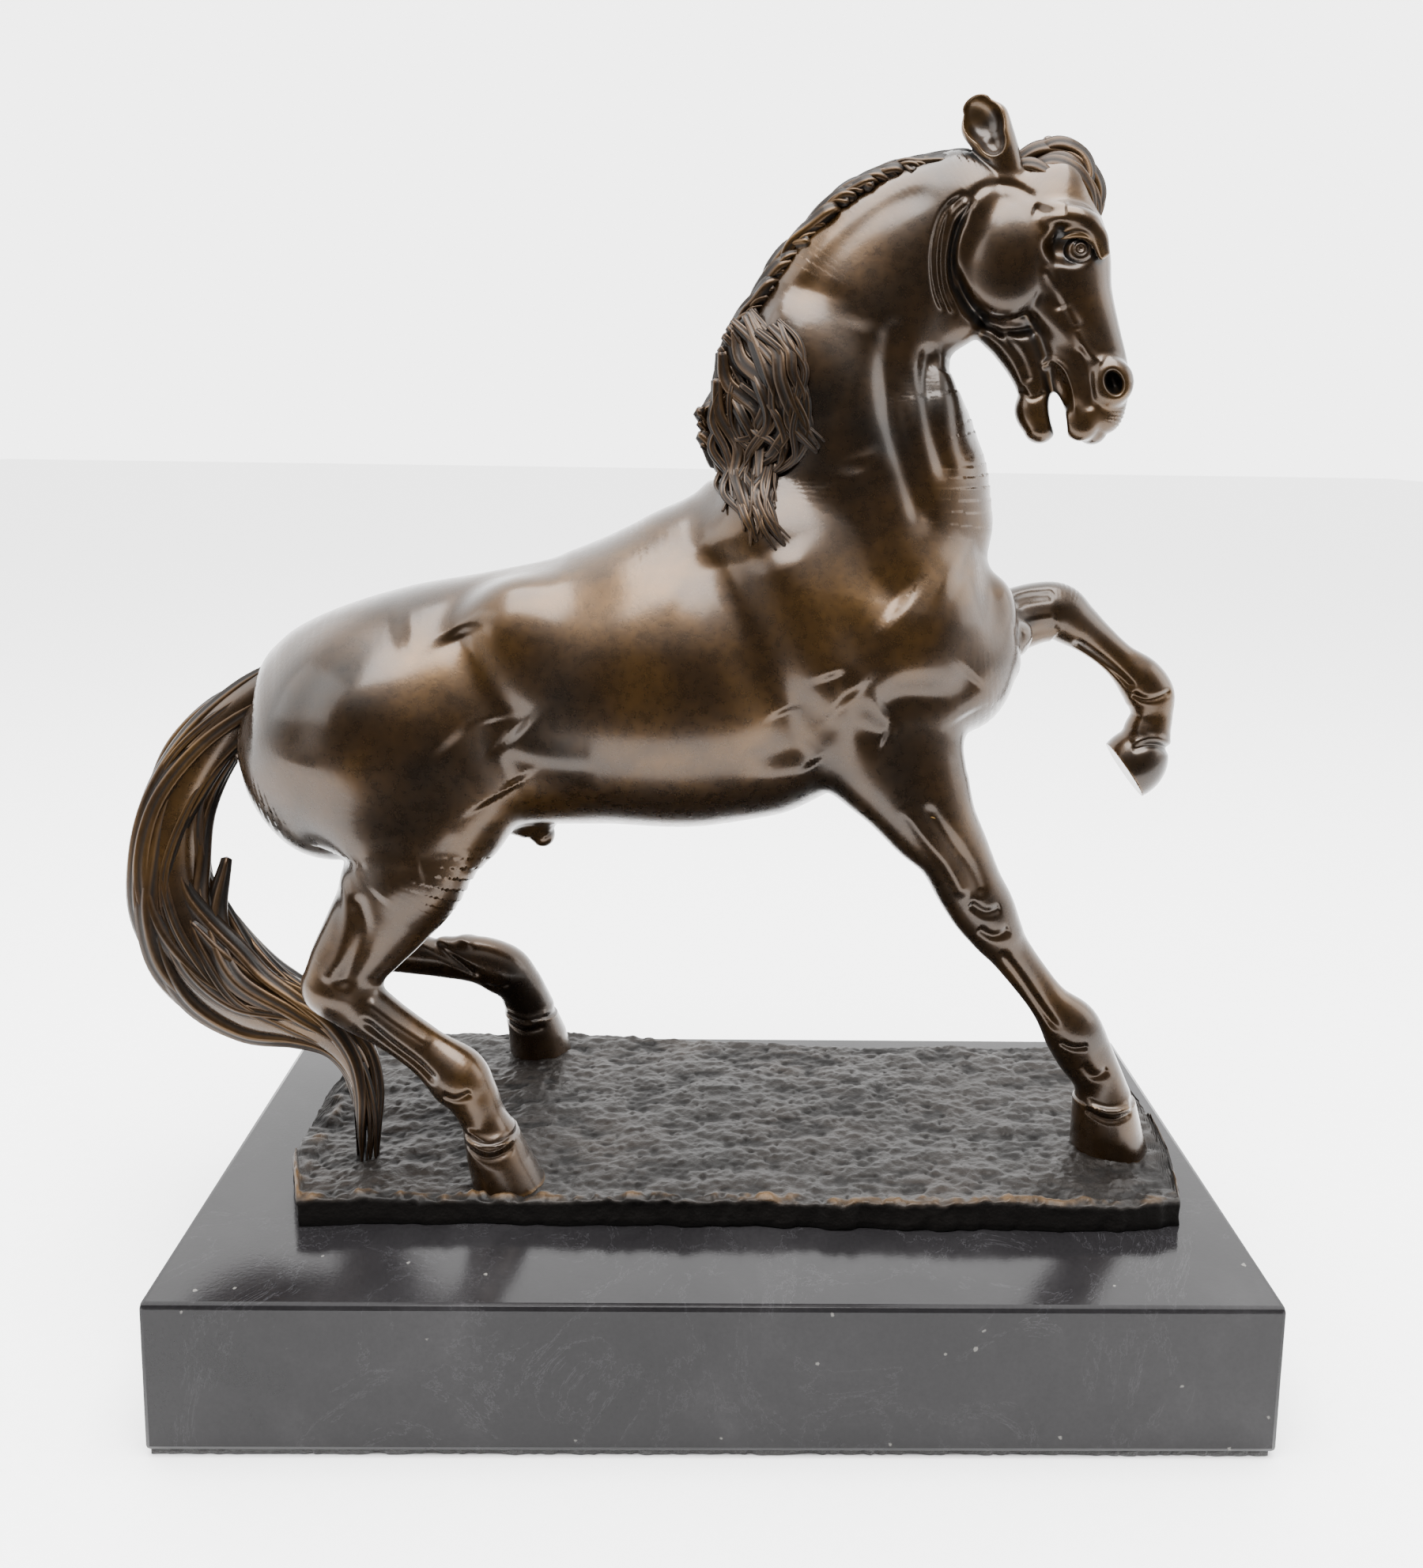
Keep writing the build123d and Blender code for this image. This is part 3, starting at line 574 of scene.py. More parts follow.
def horse(points):
    """Signed distance of the whole horse without its tail, mane and forelock."""
    base = join(TRUNK_SHAPES, points)
    low = points[:, 2] < 75
    if low.any():
        base[low] = join([(lambda q: base[low], 0)] + LEG_SHAPES + HOOVES, points[low])
    raised = (points[:, 0] > 118) & (points[:, 2] > 95)
    if raised.any():
        p = points[raised]
        hoof_top = RAISED_HOOF[0](p)
        sole = (p - RAISED_SOLE[0]) @ RAISED_SOLE[1]
        hoof_top = np.maximum(hoof_top, sole)
        base[raised] = join([(lambda q: base[raised], 0), (lambda q: hoof_top, 1.5)], p)
    base -= lifted(BODY_STROKES, points, AXIS_Y) * (points[:, 2] > 80)
    base -= lifted(NECK_STROKES, points, 2.0) * (points[:, 2] > 180)
    base -= lifted(LEG_STROKES, points, 6.0) * ((points[:, 2] < 118) | (points[:, 0] > 84))
    head = (points[:, 2] > 205) & (points[:, 0] > 52)
    if head.any():
        p = points[head]
        own = head_frame(p)
        skull = join(HEAD_SHAPES, own)
        skull = eye_detail(own, skull)
        skull = nostril_detail(own, skull)
        both = join([(lambda q: base[head], 0), (lambda q: skull, 3.0)], p)
        both -= lifted(HEAD_STROKES, own, 0.0)
        for gap in MOUTH_GAPS:
            both = cut(both, gap, own)
        base[head] = ears(own, both)
    return base


# ---------------------------------------------------------------- surfaces out of the distance
def field_grid(field, low, high, step):
    """The distance on a grid, worked out only in blocks that the surface may pass through."""
    block = 5
    low = np.array(low, float)
    counts = np.ceil((np.array(high) - low) / (step * block)).astype(int)
    blocks = np.stack(np.meshgrid(*[np.arange(n) for n in counts], indexing="ij"), -1).reshape(-1, 3)
    middle = low + (blocks + 0.5) * step * block
    coarse = field(middle)
    values = np.repeat(np.repeat(np.repeat(coarse.reshape(counts), block, 0), block, 1), block, 2)
    values = values.astype(np.float32)
    inner = np.stack(np.meshgrid(*[np.arange(block)] * 3, indexing="ij"), -1).reshape(-1, 3)
    active = blocks[np.abs(coarse) < step * block * 0.87 * 1.5 + 1.5]
    cells = (active[:, None, :] * block + inner).reshape(-1, 3)
    for start in range(0, len(cells), 300000):
        part = cells[start:start + 300000]
        values[tuple(part.T)] = field(low + part * step)
    return values


def net(values):
    """Quads round the zero of a grid: each cell that it crosses gets one vertex.

    The vertex is the mean of the places where the cell's edges cross zero. Each such edge
    gives a quad of the four cells round it, turned so that its face looks outwards.
    """
    shape = np.array(values.shape)
    cell_shape = tuple(shape - 1)
    rings, places = [], []
    for axis in range(3):
        u, v = (axis + 1) % 3, (axis + 2) % 3
        first, last = [slice(None)] * 3, [slice(None)] * 3
        first[axis], last[axis] = slice(0, -1), slice(1, None)
        a, b = values[tuple(first)], values[tuple(last)]
        at = np.argwhere((a < 0) != (b < 0))
        whole = (at[:, u] > 0) & (at[:, v] > 0) & (at[:, u] < shape[u] - 1) & (at[:, v] < shape[v] - 1)
        at = at[whole]
        va, vb = a[tuple(at.T)], b[tuple(at.T)]
        place = at.astype(float)
        place[:, axis] += va / (va - vb)
        ring = np.empty((len(at), 4), int)
        for k, (du, dv) in enumerate(((-1, -1), (0, -1), (0, 0), (-1, 0))):
            cell = at.copy()
            cell[:, u] += du
            cell[:, v] += dv
            ring[:, k] = np.ravel_multi_index(tuple(cell.T), cell_shape)
        ring[va > 0] = ring[va > 0][:, ::-1]
        rings.append(ring)
        places.append(np.repeat(place, 4, 0).reshape(-1, 4, 3))
    rings, places = np.concatenate(rings), np.concatenate(places).reshape(-1, 3)
    used, index = np.unique(rings.ravel(), return_inverse=True)
    total = np.bincount(index, minlength=len(used))
    verts = np.stack([np.bincount(index, places[:, k], len(used)) for k in range(3)], 1) / total[:, None]
    return verts, index.reshape(-1, 4)


def slope(field, points, step=0.15):
    """The distance's rate of change along x, y and z, by differences."""
    out = np.empty_like(points)
    for axis in range(3):
        shift = np.zeros(3)
        shift[axis] = step
        out[:, axis] = (field(points + shift) - field(points - shift)) / (2 * step)
    return out


def to_mesh(name, verts, faces):
    """A mesh object from arrays of vertices in metres and of quads or triangles."""
    mesh = bpy.data.meshes.new(name)
    faces = np.asarray(faces)
    mesh.vertices.add(len(verts))
    mesh.vertices.foreach_set("co", np.asarray(verts, np.float32).ravel())
    mesh.loops.add(faces.size)
    mesh.loops.foreach_set("vertex_index", faces.ravel().astype(np.int32))
    mesh.polygons.add(len(faces))
    mesh.polygons.foreach_set("loop_start", np.arange(0, faces.size, faces.shape[1], dtype=np.int32))
    mesh.polygons.foreach_set("loop_total", np.full(len(faces), faces.shape[1], np.int32))
    mesh.update(calc_edges=True)
    mesh.validate()
    piece = bpy.data.objects.new(name, mesh)
    bpy.context.collection.objects.link(piece)
    return piece


def coordinates(mesh):
    """The vertices of a mesh as an array."""
    out = np.empty(len(mesh.vertices) * 3, np.float32)
    mesh.vertices.foreach_get("co", out)
    return out.reshape(-1, 3).astype(float)


def remember(mesh, name, values):
    """A number for each vertex, which materials read by its name."""
    attribute = mesh.attributes.new(name, "FLOAT", "POINT")
    attribute.data.foreach_set("value", np.asarray(values, np.float32))


def shade(piece):
    """Smooth shading on all faces."""
    mesh = piece.data
    mesh.polygons.foreach_set("use_smooth", np.ones(len(mesh.polygons), bool))


def cast(name, field, low, high, step, cuts, nodes):
    """One casting: the field's zero surface in a box, cut by planes and closed there.

    A cut is a place and the direction that is taken away. Vertices slide down the slope on
    to the surface itself, and their normals are the slope's direction, so that castings
    which share a field meet without a visible seam. Hollow and worn are how far the field,
    a little off the surface, differs from the plain distance there.
    """
    step = step * 1.0
    values = field_grid(field, low, high, step)
    verts, faces = net(values)
    verts = np.array(low, float) + verts * step
    for _ in range(2):
        here = field(verts)
        down = slope(field, verts)
        size = np.maximum((down**2).sum(1), 0.15)
        verts -= np.clip(here / size, -step, step)[:, None] * down
    piece = to_mesh(name, (verts + (0, 0, GROUND)) * MM, faces)
    bm = bmesh.new()
    bm.from_mesh(piece.data)
    for place, away in cuts:
        place = Vector((place[0], place[1], place[2] + GROUND)) * MM
        geometry = bm.verts[:] + bm.edges[:] + bm.faces[:]
        result = bmesh.ops.bisect_plane(bm, geom=geometry, dist=1e-7, plane_co=place,
                                        plane_no=Vector(away), clear_outer=True)
        rim = [item for item in result["geom_cut"] if isinstance(item, bmesh.types.BMEdge)]
        if rim:
            bmesh.ops.holes_fill(bm, edges=rim, sides=0)
    bmesh.ops.triangulate(bm, faces=[face for face in bm.faces if len(face.verts) > 4])
    bm.to_mesh(piece.data)
    bm.free()
    mesh = piece.data
    points = coordinates(mesh) / MM - (0, 0, GROUND)
    normals = unit(slope(field, points, 0.25))
    shade(piece)
    mesh.normals_split_custom_set_from_vertices(normals)
    # hollow measures how far a point lies in a recess, like ambient occlusion; the bronze materials paint
    # shade from it.
    hollow = np.zeros(len(points))
    for reach in (1.2, 3.5, 9.0):
        hollow += np.clip(1 - field(points + normals * reach) / reach, 0, 1) / 3
    worn = np.clip(1 + field(points - normals * 1.5) / 1.5, 0, 1)
    remember(mesh, "hollow", hollow)
    remember(mesh, "worn", worn)
    finish_piece(piece, bronze_patina, nodes)
    return piece


def finish_piece(piece, material, nodes):
    """Its material, the body it belongs to and the parts that it stands for."""
    piece.data.materials.clear()
    piece.data.materials.append(material)
    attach(piece, "root")
    if nodes:
        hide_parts(*nodes)


# ---------------------------------------------------------------- locks of hair
def lock(route, flat=0.55, ribs=3, steps=40, sides=16, twist=0.0, depth=0.16):
    """A lock of hair: rows give x, y, height and half width along it.

    Its section is an ellipse, flat of its width thick, whose radius swells with the cosine
    of ribs times the angle, and which turns by twist along the lock. It ends in points.
    """
    steps = steps
    rows = spline(route, steps)
    centre = rows[:, :3]
    along = unit(np.gradient(centre, axis=0))
    outward = np.array([0.0, -1.0, 0.0]) if flat > 0 else np.array([0.0, 0.0, 1.0])
    broad = unit(np.cross(along, outward))
    thick = np.cross(broad, along)
    angle = np.linspace(0, 2 * math.pi, sides, endpoint=False)
    place = np.linspace(0, 1, steps)
    radius = 1 + depth * np.cos(ribs * angle[None, :] * 2 + twist * place[:, None] * 2 * math.pi)
    swing = angle[None, :] + 0.25 * np.sin(place[:, None] * 5.0 + route[0][0])
    u = (np.cos(swing) * radius * rows[:, 3:4])[..., None]
    v = (np.sin(swing) * radius * rows[:, 3:4] * abs(flat))[..., None]
    ring = centre[:, None, :] + u * broad[:, None, :] + v * thick[:, None, :]
    verts = np.concatenate([ring.reshape(-1, 3), centre[:1] - along[:1] * rows[0, 3] * 0.5,
                            centre[-1:] + along[-1:] * rows[-1, 3] * 0.8])
    i, j = np.meshgrid(np.arange(steps - 1), np.arange(sides), indexing="ij")
    a, b = i * sides + j, i * sides + (j + 1) % sides
    quads = np.stack([a, b, b + sides, a + sides], -1).reshape(-1, 4)
    j = np.arange(sides)
    start, end = steps * sides, steps * sides + 1
    caps = np.concatenate([np.stack([(j + 1) % sides, j, np.full(sides, start)], 1),
                           np.stack([(steps - 1) * sides + j, (steps - 1) * sides + (j + 1) % sides,
                                     np.full(sides, end)], 1)])
    faces = np.concatenate([quads[:, [0, 1, 2]], quads[:, [0, 2, 3]], caps])
    # Painted shade: hollow darkens the valleys between the ribs and, through seam, the lock's edges where
    # it meets its neighbours.
    seam = 0.45 * np.abs(np.cos(swing))**6
    hollow = np.clip(0.16 - 0.35 * (radius - 1) / depth + seam, 0, 1)
    hollow = np.concatenate([hollow.ravel(), [0.2, 0.2]])
    return verts, faces, hollow


def hair(name, locks, nodes):
    """Many locks as one piece."""
    verts, faces, hollows, count = [], [], [], 0
    for v, f, h in locks:
        verts.append(v)
        faces.append(f + count)
        hollows.append(h)
        count += len(v)
    verts, faces, hollows = np.concatenate(verts), np.concatenate(faces), np.concatenate(hollows)
    signed = np.einsum("ij,ij->i", verts[faces[:, 0]], np.cross(verts[faces[:, 1]], verts[faces[:, 2]]))
    if signed.sum() < 0:
        faces = faces[:, ::-1]
    piece = to_mesh(name, (verts + (0, 0, GROUND)) * MM, faces)
    shade(piece)
    remember(piece.data, "hollow", hollows)
    remember(piece.data, "worn", np.clip(0.4 - 2.0 * hollows, 0, 1))
    finish_piece(piece, bronze_hair, nodes)
    return piece


def on_side(route, sink=0.25, sign=-1):
    """A route in the profile, laid on the horse's side: x, height and half width become
    x, y, height and half width, where y is found by stepping inwards by the distance."""
    route = np.asarray(route, float)
    points = np.stack([route[:, 0], np.full(len(route), sign * 55.0), route[:, 1]], 1)
    for _ in range(40):
        step = np.clip(horse(points), -2, 8)
        points[:, 1] -= sign * step * 0.8
        points[:, 1] = sign * np.maximum(sign * points[:, 1], 1.0)
    points[:, 1] += sign * route[:, 2] * sink
    return np.column_stack([points, route[:, 2]])


def mane_locks():
    """Curls lying on the right of the neck, and short overlapping ones that follow the crest."""
    curls = [
        [(9, 247, 2.5), (14, 240, 3.6), (18, 231, 3.6), (20, 221, 3.2), (26, 213, 1.0)],
        [(5, 250, 2.5), (10, 242, 3.8), (14, 233, 3.6), (16, 224, 3.0), (21, 215, 1.0)],
        [(1, 246, 2.4), (6, 238, 3.6), (12, 231, 3.8), (14, 221, 3.2), (9, 211, 2.4), (6, 204, 0.8)],
        [(-1, 240, 2.4), (2, 231, 3.6), (8, 223, 3.8), (11, 213, 3.0), (11, 203, 1.6), (13, 196, 0.6)],
        [(-1, 232, 2.4), (-1, 222, 3.0), (3, 213, 3.0), (4, 204, 2.4), (2, 196, 0.8)],
        [(1, 222, 2.4), (0, 214, 2.8), (3, 206, 2.8), (6, 199, 2.0), (7, 191, 0.7)],
        [(14, 228, 2.0), (18, 222, 3.0), (17, 214, 2.8), (12, 209, 2.4), (9, 213, 1.6), (11, 217, 0.7)],
        [(8, 232, 2.0), (12, 226, 2.8), (11, 219, 2.6), (6, 216, 2.2), (3, 220, 1.4), (5, 224, 0.6)],
        [(12, 206, 1.8), (10, 200, 2.4), (12, 193, 2.0), (16, 186, 0.6)],
        [(15, 236, 1.6), (20, 228, 2.4), (22, 219, 2.4), (21, 211, 1.8), (17, 207, 1.2), (19, 211, 0.5)],
        [(6, 226, 1.6), (10, 219, 2.4), (16, 216, 2.2), (18, 211, 1.8), (15, 206, 1.2), (12, 209, 0.5)],
        [(3, 236, 1.6), (5, 228, 2.2), (4, 220, 2.2), (8, 214, 1.8), (13, 215, 1.2), (11, 219, 0.5)],
        [(4, 208, 1.8), (3, 201, 2.4), (7, 194, 2.0), (9, 187, 0.6)],
        [(12, 247, 2.0), (17, 241, 2.8), (20, 234, 2.6), (21, 227, 1.8), (19, 221, 0.7)],
        [(0, 228, 1.8), (-2, 223, 2.0), (-2, 217, 1.6), (0, 212, 0.6)],
        [(3, 214, 1.8), (0, 209, 2.0), (0, 203, 1.4), (2, 199, 0.6)],
    ]
    locks = []
    for index, route in enumerate(curls):
        rows = on_side(route, sink=0.15 + 0.12 * (index % 3))
        for shift, size in ((0.0, 1.0), (2.4, 0.6), (-2.4, 0.6), (4.0, 0.4)):
            copy = rows.copy()
            copy[:, 0] += shift * (0.6 + 0.4 * np.cos(index + np.arange(len(rows))))
            copy[:, 0] += 1.3 * np.sin(2.3 * np.arange(len(rows)) + index + shift)
            copy[:, 2] += shift * 0.5
            copy[:, 1] -= 0.5 if shift else 0.0
            copy[:, 3] *= size * 0.85
            locks.append(lock(copy, flat=0.8, ribs=3, sides=24, twist=0.5, depth=0.17))
    crest = spline([(70, -1, 298.4), (56, -1, 296), (45, 0, 293.5), (34, 0.5, 288), (24, 1, 279),
                    (14, 1.5, 267), (7, 2, 256), (1, 2, 246), (-3, 2.5, 232), (-3, 3, 218),
                    (0, 3, 207)], 44)
    downhill = unit(np.gradient(crest, axis=0))
    up = np.stack([-downhill[:, 2], np.zeros(len(crest)), downhill[:, 0]], 1)
    up = up * np.where((up[:, 2:] > 0) | (up[:, :1] < 0), 1, -1)
    for index in range(len(crest) - 3):
        wild = math.sin(index * 2.4) + 0.6 * math.sin(index * 5.3 + 1)
        width = 1.9 + 0.5 * math.sin(index * 3.1)
        rows = []
        for ahead, deep, over, size in ((0, 4.4, -3.0 - wild, 0.7), (1, 2.2 - 0.4 * wild, -2.0 + wild, 1.0),
                                        (3, 1.6 - 0.4 * wild, 0.3 + 1.6 * wild, 1.0),
                                        (5, 1.7 + 0.4 * wild, 1.6 + 2.2 * wild, 0.8),
                                        (7, 2.4, 3.0 + 2.6 * wild, 0.25)):
            at = min(index + ahead, len(crest) - 1)
            rows.append([*(crest[at] - up[at] * deep + (0, over, 0)), width * size])
        route = np.array(rows)
        locks.append(lock(route, flat=0.8, ribs=2, steps=24, sides=16, twist=0.4, depth=0.2))
    return locks


def forelock():
    """Locks from between the ears over the brow, the last ones hanging in front of it."""
    routes = [
        [(80, -1, 293, 1.6), (88, -2, 297.5, 2.6), (96, -3, 297, 2.6), (102, -5, 292, 2.4),
         (105, -6, 286, 2.0), (104.5, -7, 279, 0.8)],
        [(80, 1, 294, 1.6), (90, 1, 298, 2.6), (98, 0, 296.5, 2.6), (103.5, -2, 290, 2.4),
         (105.5, -4, 284, 1.8), (105, -6, 278, 0.7)],
        [(84, -4, 290, 1.6), (91, -7, 293, 2.6), (97, -8.5, 291, 2.4), (101, -9.5, 286, 1.8),
         (103, -10, 280, 0.7)],
        [(82, 3, 292, 1.6), (90, 4, 296.5, 2.6), (99, 3, 294, 2.6), (104.5, 1, 288, 2.0),
         (106.5, -1, 280, 0.7)],
        [(84, -2, 292, 1.4), (94, -5.5, 294.8, 2.2), (100, -7.5, 289, 2.0), (103.4, -8.5, 283.5, 1.6),
         (104.4, -9, 278, 0.6)],
        [(78, -4, 290, 1.4), (84, -7, 292.5, 2.2), (89, -9, 290.5, 1.8), (93, -10.5, 286.5, 0.7)],
        [(86, -1, 296, 1.6), (93, -3, 299, 2.4), (99.5, -4, 296.5, 2.4), (102, -6.5, 291, 1.8),
         (100.5, -8.5, 287, 0.7)],
    ]
    return [lock(np.array(route, float), flat=0.7, ribs=2, twist=0.2, depth=0.2) for route in routes]


TAIL = [
    (-116, 8, 148, 6, 6), (-127, 7.5, 143.5, 6.2, 6), (-138, 7, 136.5, 7.2, 6.6),
    (-150, 5, 127, 7.6, 7.2), (-159.5, 3, 115, 8.6, 8), (-165.5, 1, 102, 9, 8.6),
    (-167.5, 0, 88, 10, 9.6), (-166.5, -1, 75, 11.2, 10.6), (-161.5, -2, 62.5, 12.4, 11),
    (-152, -4, 51.5, 12.4, 10.6), (-140, -6, 44, 11, 9.5), (-127, -9, 40.5, 8.6, 7.4),
    (-116, -12, 35.5, 6.2, 5.6), (-108.8, -14.5, 28, 4.8, 4.6), (-105.4, -17, 18.7, 4, 4),
    (-104.7, -19, 8, 3.6, 3.6), (-104.5, -20, -1, 3.6, 3.6),
]


def tail_locks():
    """Wavy locks wound round the tail's own path, each on its own stretch and side of it.

    A lock runs at its own angle round the section, just under the outline, and sways with a
    slow sine, so that neighbours cross and part as real hair does.
    """
    path = spline(TAIL, 160)
    along = unit(np.gradient(path[:, :3], axis=0))
    across = unit(np.stack([-along[:, 2], np.zeros(160), along[:, 0]], 1))
    side = np.cross(along, across)
    locks = []
    for index in range(40):
        angle = index * 2.39996
        start = 0.02 + 0.055 * (index % 5) + 0.25 * (index >= 24)
        end = min(1.0, start + 0.45 + 0.06 * ((index * 3) % 5))
        if index % 4 == 0:
            end = 1.0
        places = np.linspace(start, end, 9)
        at = (places * 159).astype(int)
        sway = angle + 0.5 * np.sin(places * 9.0 + index) + 0.9 * (places - start)
        reach = 0.86 + 0.1 * np.sin(places * 17 + index * 1.3)
        centre = (path[at, :3] + across[at] * (np.cos(sway) * path[at, 3] * reach)[:, None]
                  + side[at] * (np.sin(sway) * path[at, 4] * reach)[:, None])
        width = (0.22 * path[at, 3] + 0.9) * (0.85 + 0.3 * np.sin(index * 1.9))
        width = width * np.array([0.3, 0.9, 1, 1, 1, 1, 0.9, 0.65, 0.2])
        locks.append(lock(np.column_stack([centre, width]), flat=0.85, ribs=3, steps=64,
                          sides=24, twist=0.8, depth=0.14))
    for x, z, dx, dz in ((-172, 62, 12, -14), (-166, 53, 16, -12), (-158, 44, 20, -9),
                         (-174, 74, 6, -16), (-150, 38, 22, -5), (-152, 70, 9, -14)):
        rows = [(x + 2, -1, z + 16, 1.4), (x, -6, z, 3.0), (x + dx * 0.6, -9, z + dz * 0.7, 2.6),
                (x + dx * 1.5, -10, z + dz * 1.1, 1.8), (x + dx * 2.2, -10, z + dz * 1.25, 0.5)]
        locks.append(lock(np.array(rows, float), flat=0.7, ribs=2, twist=0.6, depth=0.22))
    return locks


# ---------------------------------------------------------------- base
NEAR_EDGE = [(-127, -20), (-119, -44.5), (-60, -43), (0, -44), (60, -45), (120, -45), (134, -42),
             (139, -20), (141, 10)]
FAR_EDGE = [(-127, 20), (-122, 55), (-100, 66), (-50, 66), (20, 59), (100, 58), (133, 56),
            (140, 40), (141, 10)]


def terrace():
    """The ground: a grid over x, and over the way from the near edge to the far one.

    Its height adds ripples that run lengthways, thumbed lumps, small pits and a rough ridge
    along the near edge. The wall is the grid's rim carried down in rings that wave a little.
    """
    nx, ny = ((400, 165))
    x = np.linspace(-127, 140.6, nx)
    edges = []
    for points, seed in ((NEAR_EDGE, 3), (FAR_EDGE, 4)):
        line = np.interp(x, *np.array(points, float).T)
        at = np.column_stack([x, line, np.zeros(nx)])
        edges.append(line + 0.7 * noise(at, 9.0, seed) + 0.5 * noise(at, 3.2, seed + 4))
    near, far = edges
    v = np.linspace(0, 1, ny)
    y = near[:, None] + v[None, :] * (far - near)[:, None]
    p = np.stack([np.repeat(x, ny), y.ravel(), np.zeros(nx * ny)], 1)
    from_near = (y - near[:, None]).ravel()
    ripples = 0.55 * noise(p * (0.45, 1, 1), 5.0, 11) + 0.35 * noise(p * (0.6, 1, 1), 2.2, 12)
    lumps = 0.9 * noise(p, 26.0, 13) + 0.22 * noise(p, 1.2, 14)
    pits = -0.8 * np.clip(noise(p, 1.9, 15) - 0.4, 0, 1) - 0.9 * np.clip(noise(p, 4.6, 16) - 0.5, 0, 1)
    broken = 1.2 + 0.9 * noise(p, 5.0, 17) + 0.7 * noise(p, 1.8, 18)
    ridge = np.exp(-((from_near - 2.4) / 2.4)**2) * broken
    ends = np.exp(-((p[:, 0] + 122) / 3.5)**2) * (0.7 + 0.8 * noise(p, 4.0, 19))
    p[:, 2] = np.minimum(ripples + lumps + pits + ridge + ends - 0.6, 3.4)
    i, j = np.meshgrid(np.arange(nx - 1), np.arange(ny - 1), indexing="ij")
    a = i * ny + j
    top = np.stack([a, a + ny, a + ny + 1, a + 1], -1).reshape(-1, 4)
    rim = np.concatenate([np.arange(nx) * ny, (nx - 1) * ny + np.arange(1, ny),
                          np.arange(nx - 2, -1, -1) * ny + ny - 1, np.arange(ny - 2, 0, -1)])
    centre = np.array([6.0, 8.0])
    outward = unit(p[rim, :2] - centre)
    bottom = MARBLE_TOP - GROUND
    verts, walls, last = [p], [], rim
    for level, t in enumerate((0.85, 0.6, 0.3, 0.04, 0.0)):
        ring = p[rim].copy()
        bulge = 0.5 * noise(ring + (0, 0, t * 8), 2.4, 5) + 0.4 * noise(ring, 9.0, 6) - 0.25
        ring[:, :2] += outward * (bulge - 0.6 * (t == 0))[:, None]
        ring[:, 2] = bottom + (ring[:, 2] - bottom) * t
        verts.append(ring)
        here = nx * ny + level * len(rim) + np.arange(len(rim))
        walls.append(np.stack([here, np.roll(here, -1), np.roll(last, -1), last], 1))
        last = here
    verts.append(np.array([[*centre, bottom]]))
    count = sum(len(part) for part in verts)
    under = np.stack([np.roll(last, -1), last, np.full(len(rim), count - 1)], 1)
    quads = np.concatenate([top] + walls)
    faces = np.concatenate([quads[:, [0, 1, 2]], quads[:, [0, 2, 3]], under])
    piece = to_mesh("terrace", (np.concatenate(verts) + (0, 0, GROUND)) * MM, faces)
    shade(piece)
    rest = np.zeros(count - nx * ny)
    # Painted shade: hollow darkens the ripple troughs and the pits, and a fixed half amount darkens the
    # wall and underside.
    remember(piece.data, "hollow", np.append(np.clip(-ripples - pits, 0, 1), rest + 0.5))
    remember(piece.data, "worn", np.append(np.clip((ridge + ends + ripples) * 0.35, 0, 1), rest))
    finish_piece(piece, bronze_ground, ["ground_plate"])


def slab():
    """The stone: a box between its corners, its edges rounded off by the arris."""
    low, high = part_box("marble_base")
    arris = 1.5 * MM
    bm = bmesh.new()
    bmesh.ops.create_cube(bm, size=1.0)
    for vert in bm.verts:
        vert.co = Vector([low[k] if vert.co[k] < 0 else high[k] for k in range(3)])
    bmesh.ops.bevel(bm, geom=bm.edges[:], offset=arris, segments=2, profile=0.5, affect="EDGES")
    mesh = bpy.data.meshes.new("stone_slab")
    bm.to_mesh(mesh)
    bm.free()
    piece = bpy.data.objects.new("stone_slab", mesh)
    bpy.context.collection.objects.link(piece)
    shade(piece)
    mesh.set_sharp_from_angle(angle=math.radians(20))
    finish_piece(piece, polished_stone, ["marble_base"])


def felt():
    """The felt under the stone: a thin sheet whose edge wanders by a few tenths of a millimetre."""
    low, high = (np.array(corner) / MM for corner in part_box("felt_sheet"))
    around = 1200
    corner = [(low[0], low[1]), (high[0], low[1]), (high[0], high[1]), (low[0], high[1]), (low[0], low[1])]
    outline = np.array(corner, float)
    length = np.concatenate([[0], np.cumsum(np.linalg.norm(np.diff(outline, axis=0), axis=1))])
    along = np.linspace(0, length[-1], around, endpoint=False)
    edge = np.stack([np.interp(along, length, outline[:, k]) for k in (0, 1)], 1)
    centre = (low[:2] + high[:2]) / 2
    flat = np.column_stack([edge, np.zeros(around)])
    fray = -0.5 + 0.45 * noise(flat, 1.6, 31) + 0.3 * noise(flat, 6.0, 32)
    rings = []
    for t, inset in ((0.0, -0.6), (0.15, 0.0), (0.85, 0.0), (1.0, -0.6)):
        ring = edge + unit(edge - centre) * (fray + inset)[:, None]
        rings.append(np.column_stack([ring, np.full(around, low[2] + (high[2] - low[2]) * t)]))
    verts = np.concatenate(rings + [np.array([[*centre, high[2]], [*centre, low[2]]])])
    i, j = np.meshgrid(np.arange(3), np.arange(around), indexing="ij")
    a, b = i * around + j, i * around + (j + 1) % around
    quads = np.stack([a, b, b + around, a + around], -1).reshape(-1, 4)
    j = np.arange(around)
    top = np.stack([3 * around + j, 3 * around + (j + 1) % around, np.full(around, 4 * around)], 1)
    bottom = np.stack([(j + 1) % around, j, np.full(around, 4 * around + 1)], 1)
    faces = np.concatenate([quads[:, [0, 1, 2]], quads[:, [0, 2, 3]], top, bottom])
    piece = to_mesh("felt_pad", verts * MM, faces)
    shade(piece)
    piece.data.set_sharp_from_angle(angle=math.radians(40))
    finish_piece(piece, black_felt, ["felt_sheet"])


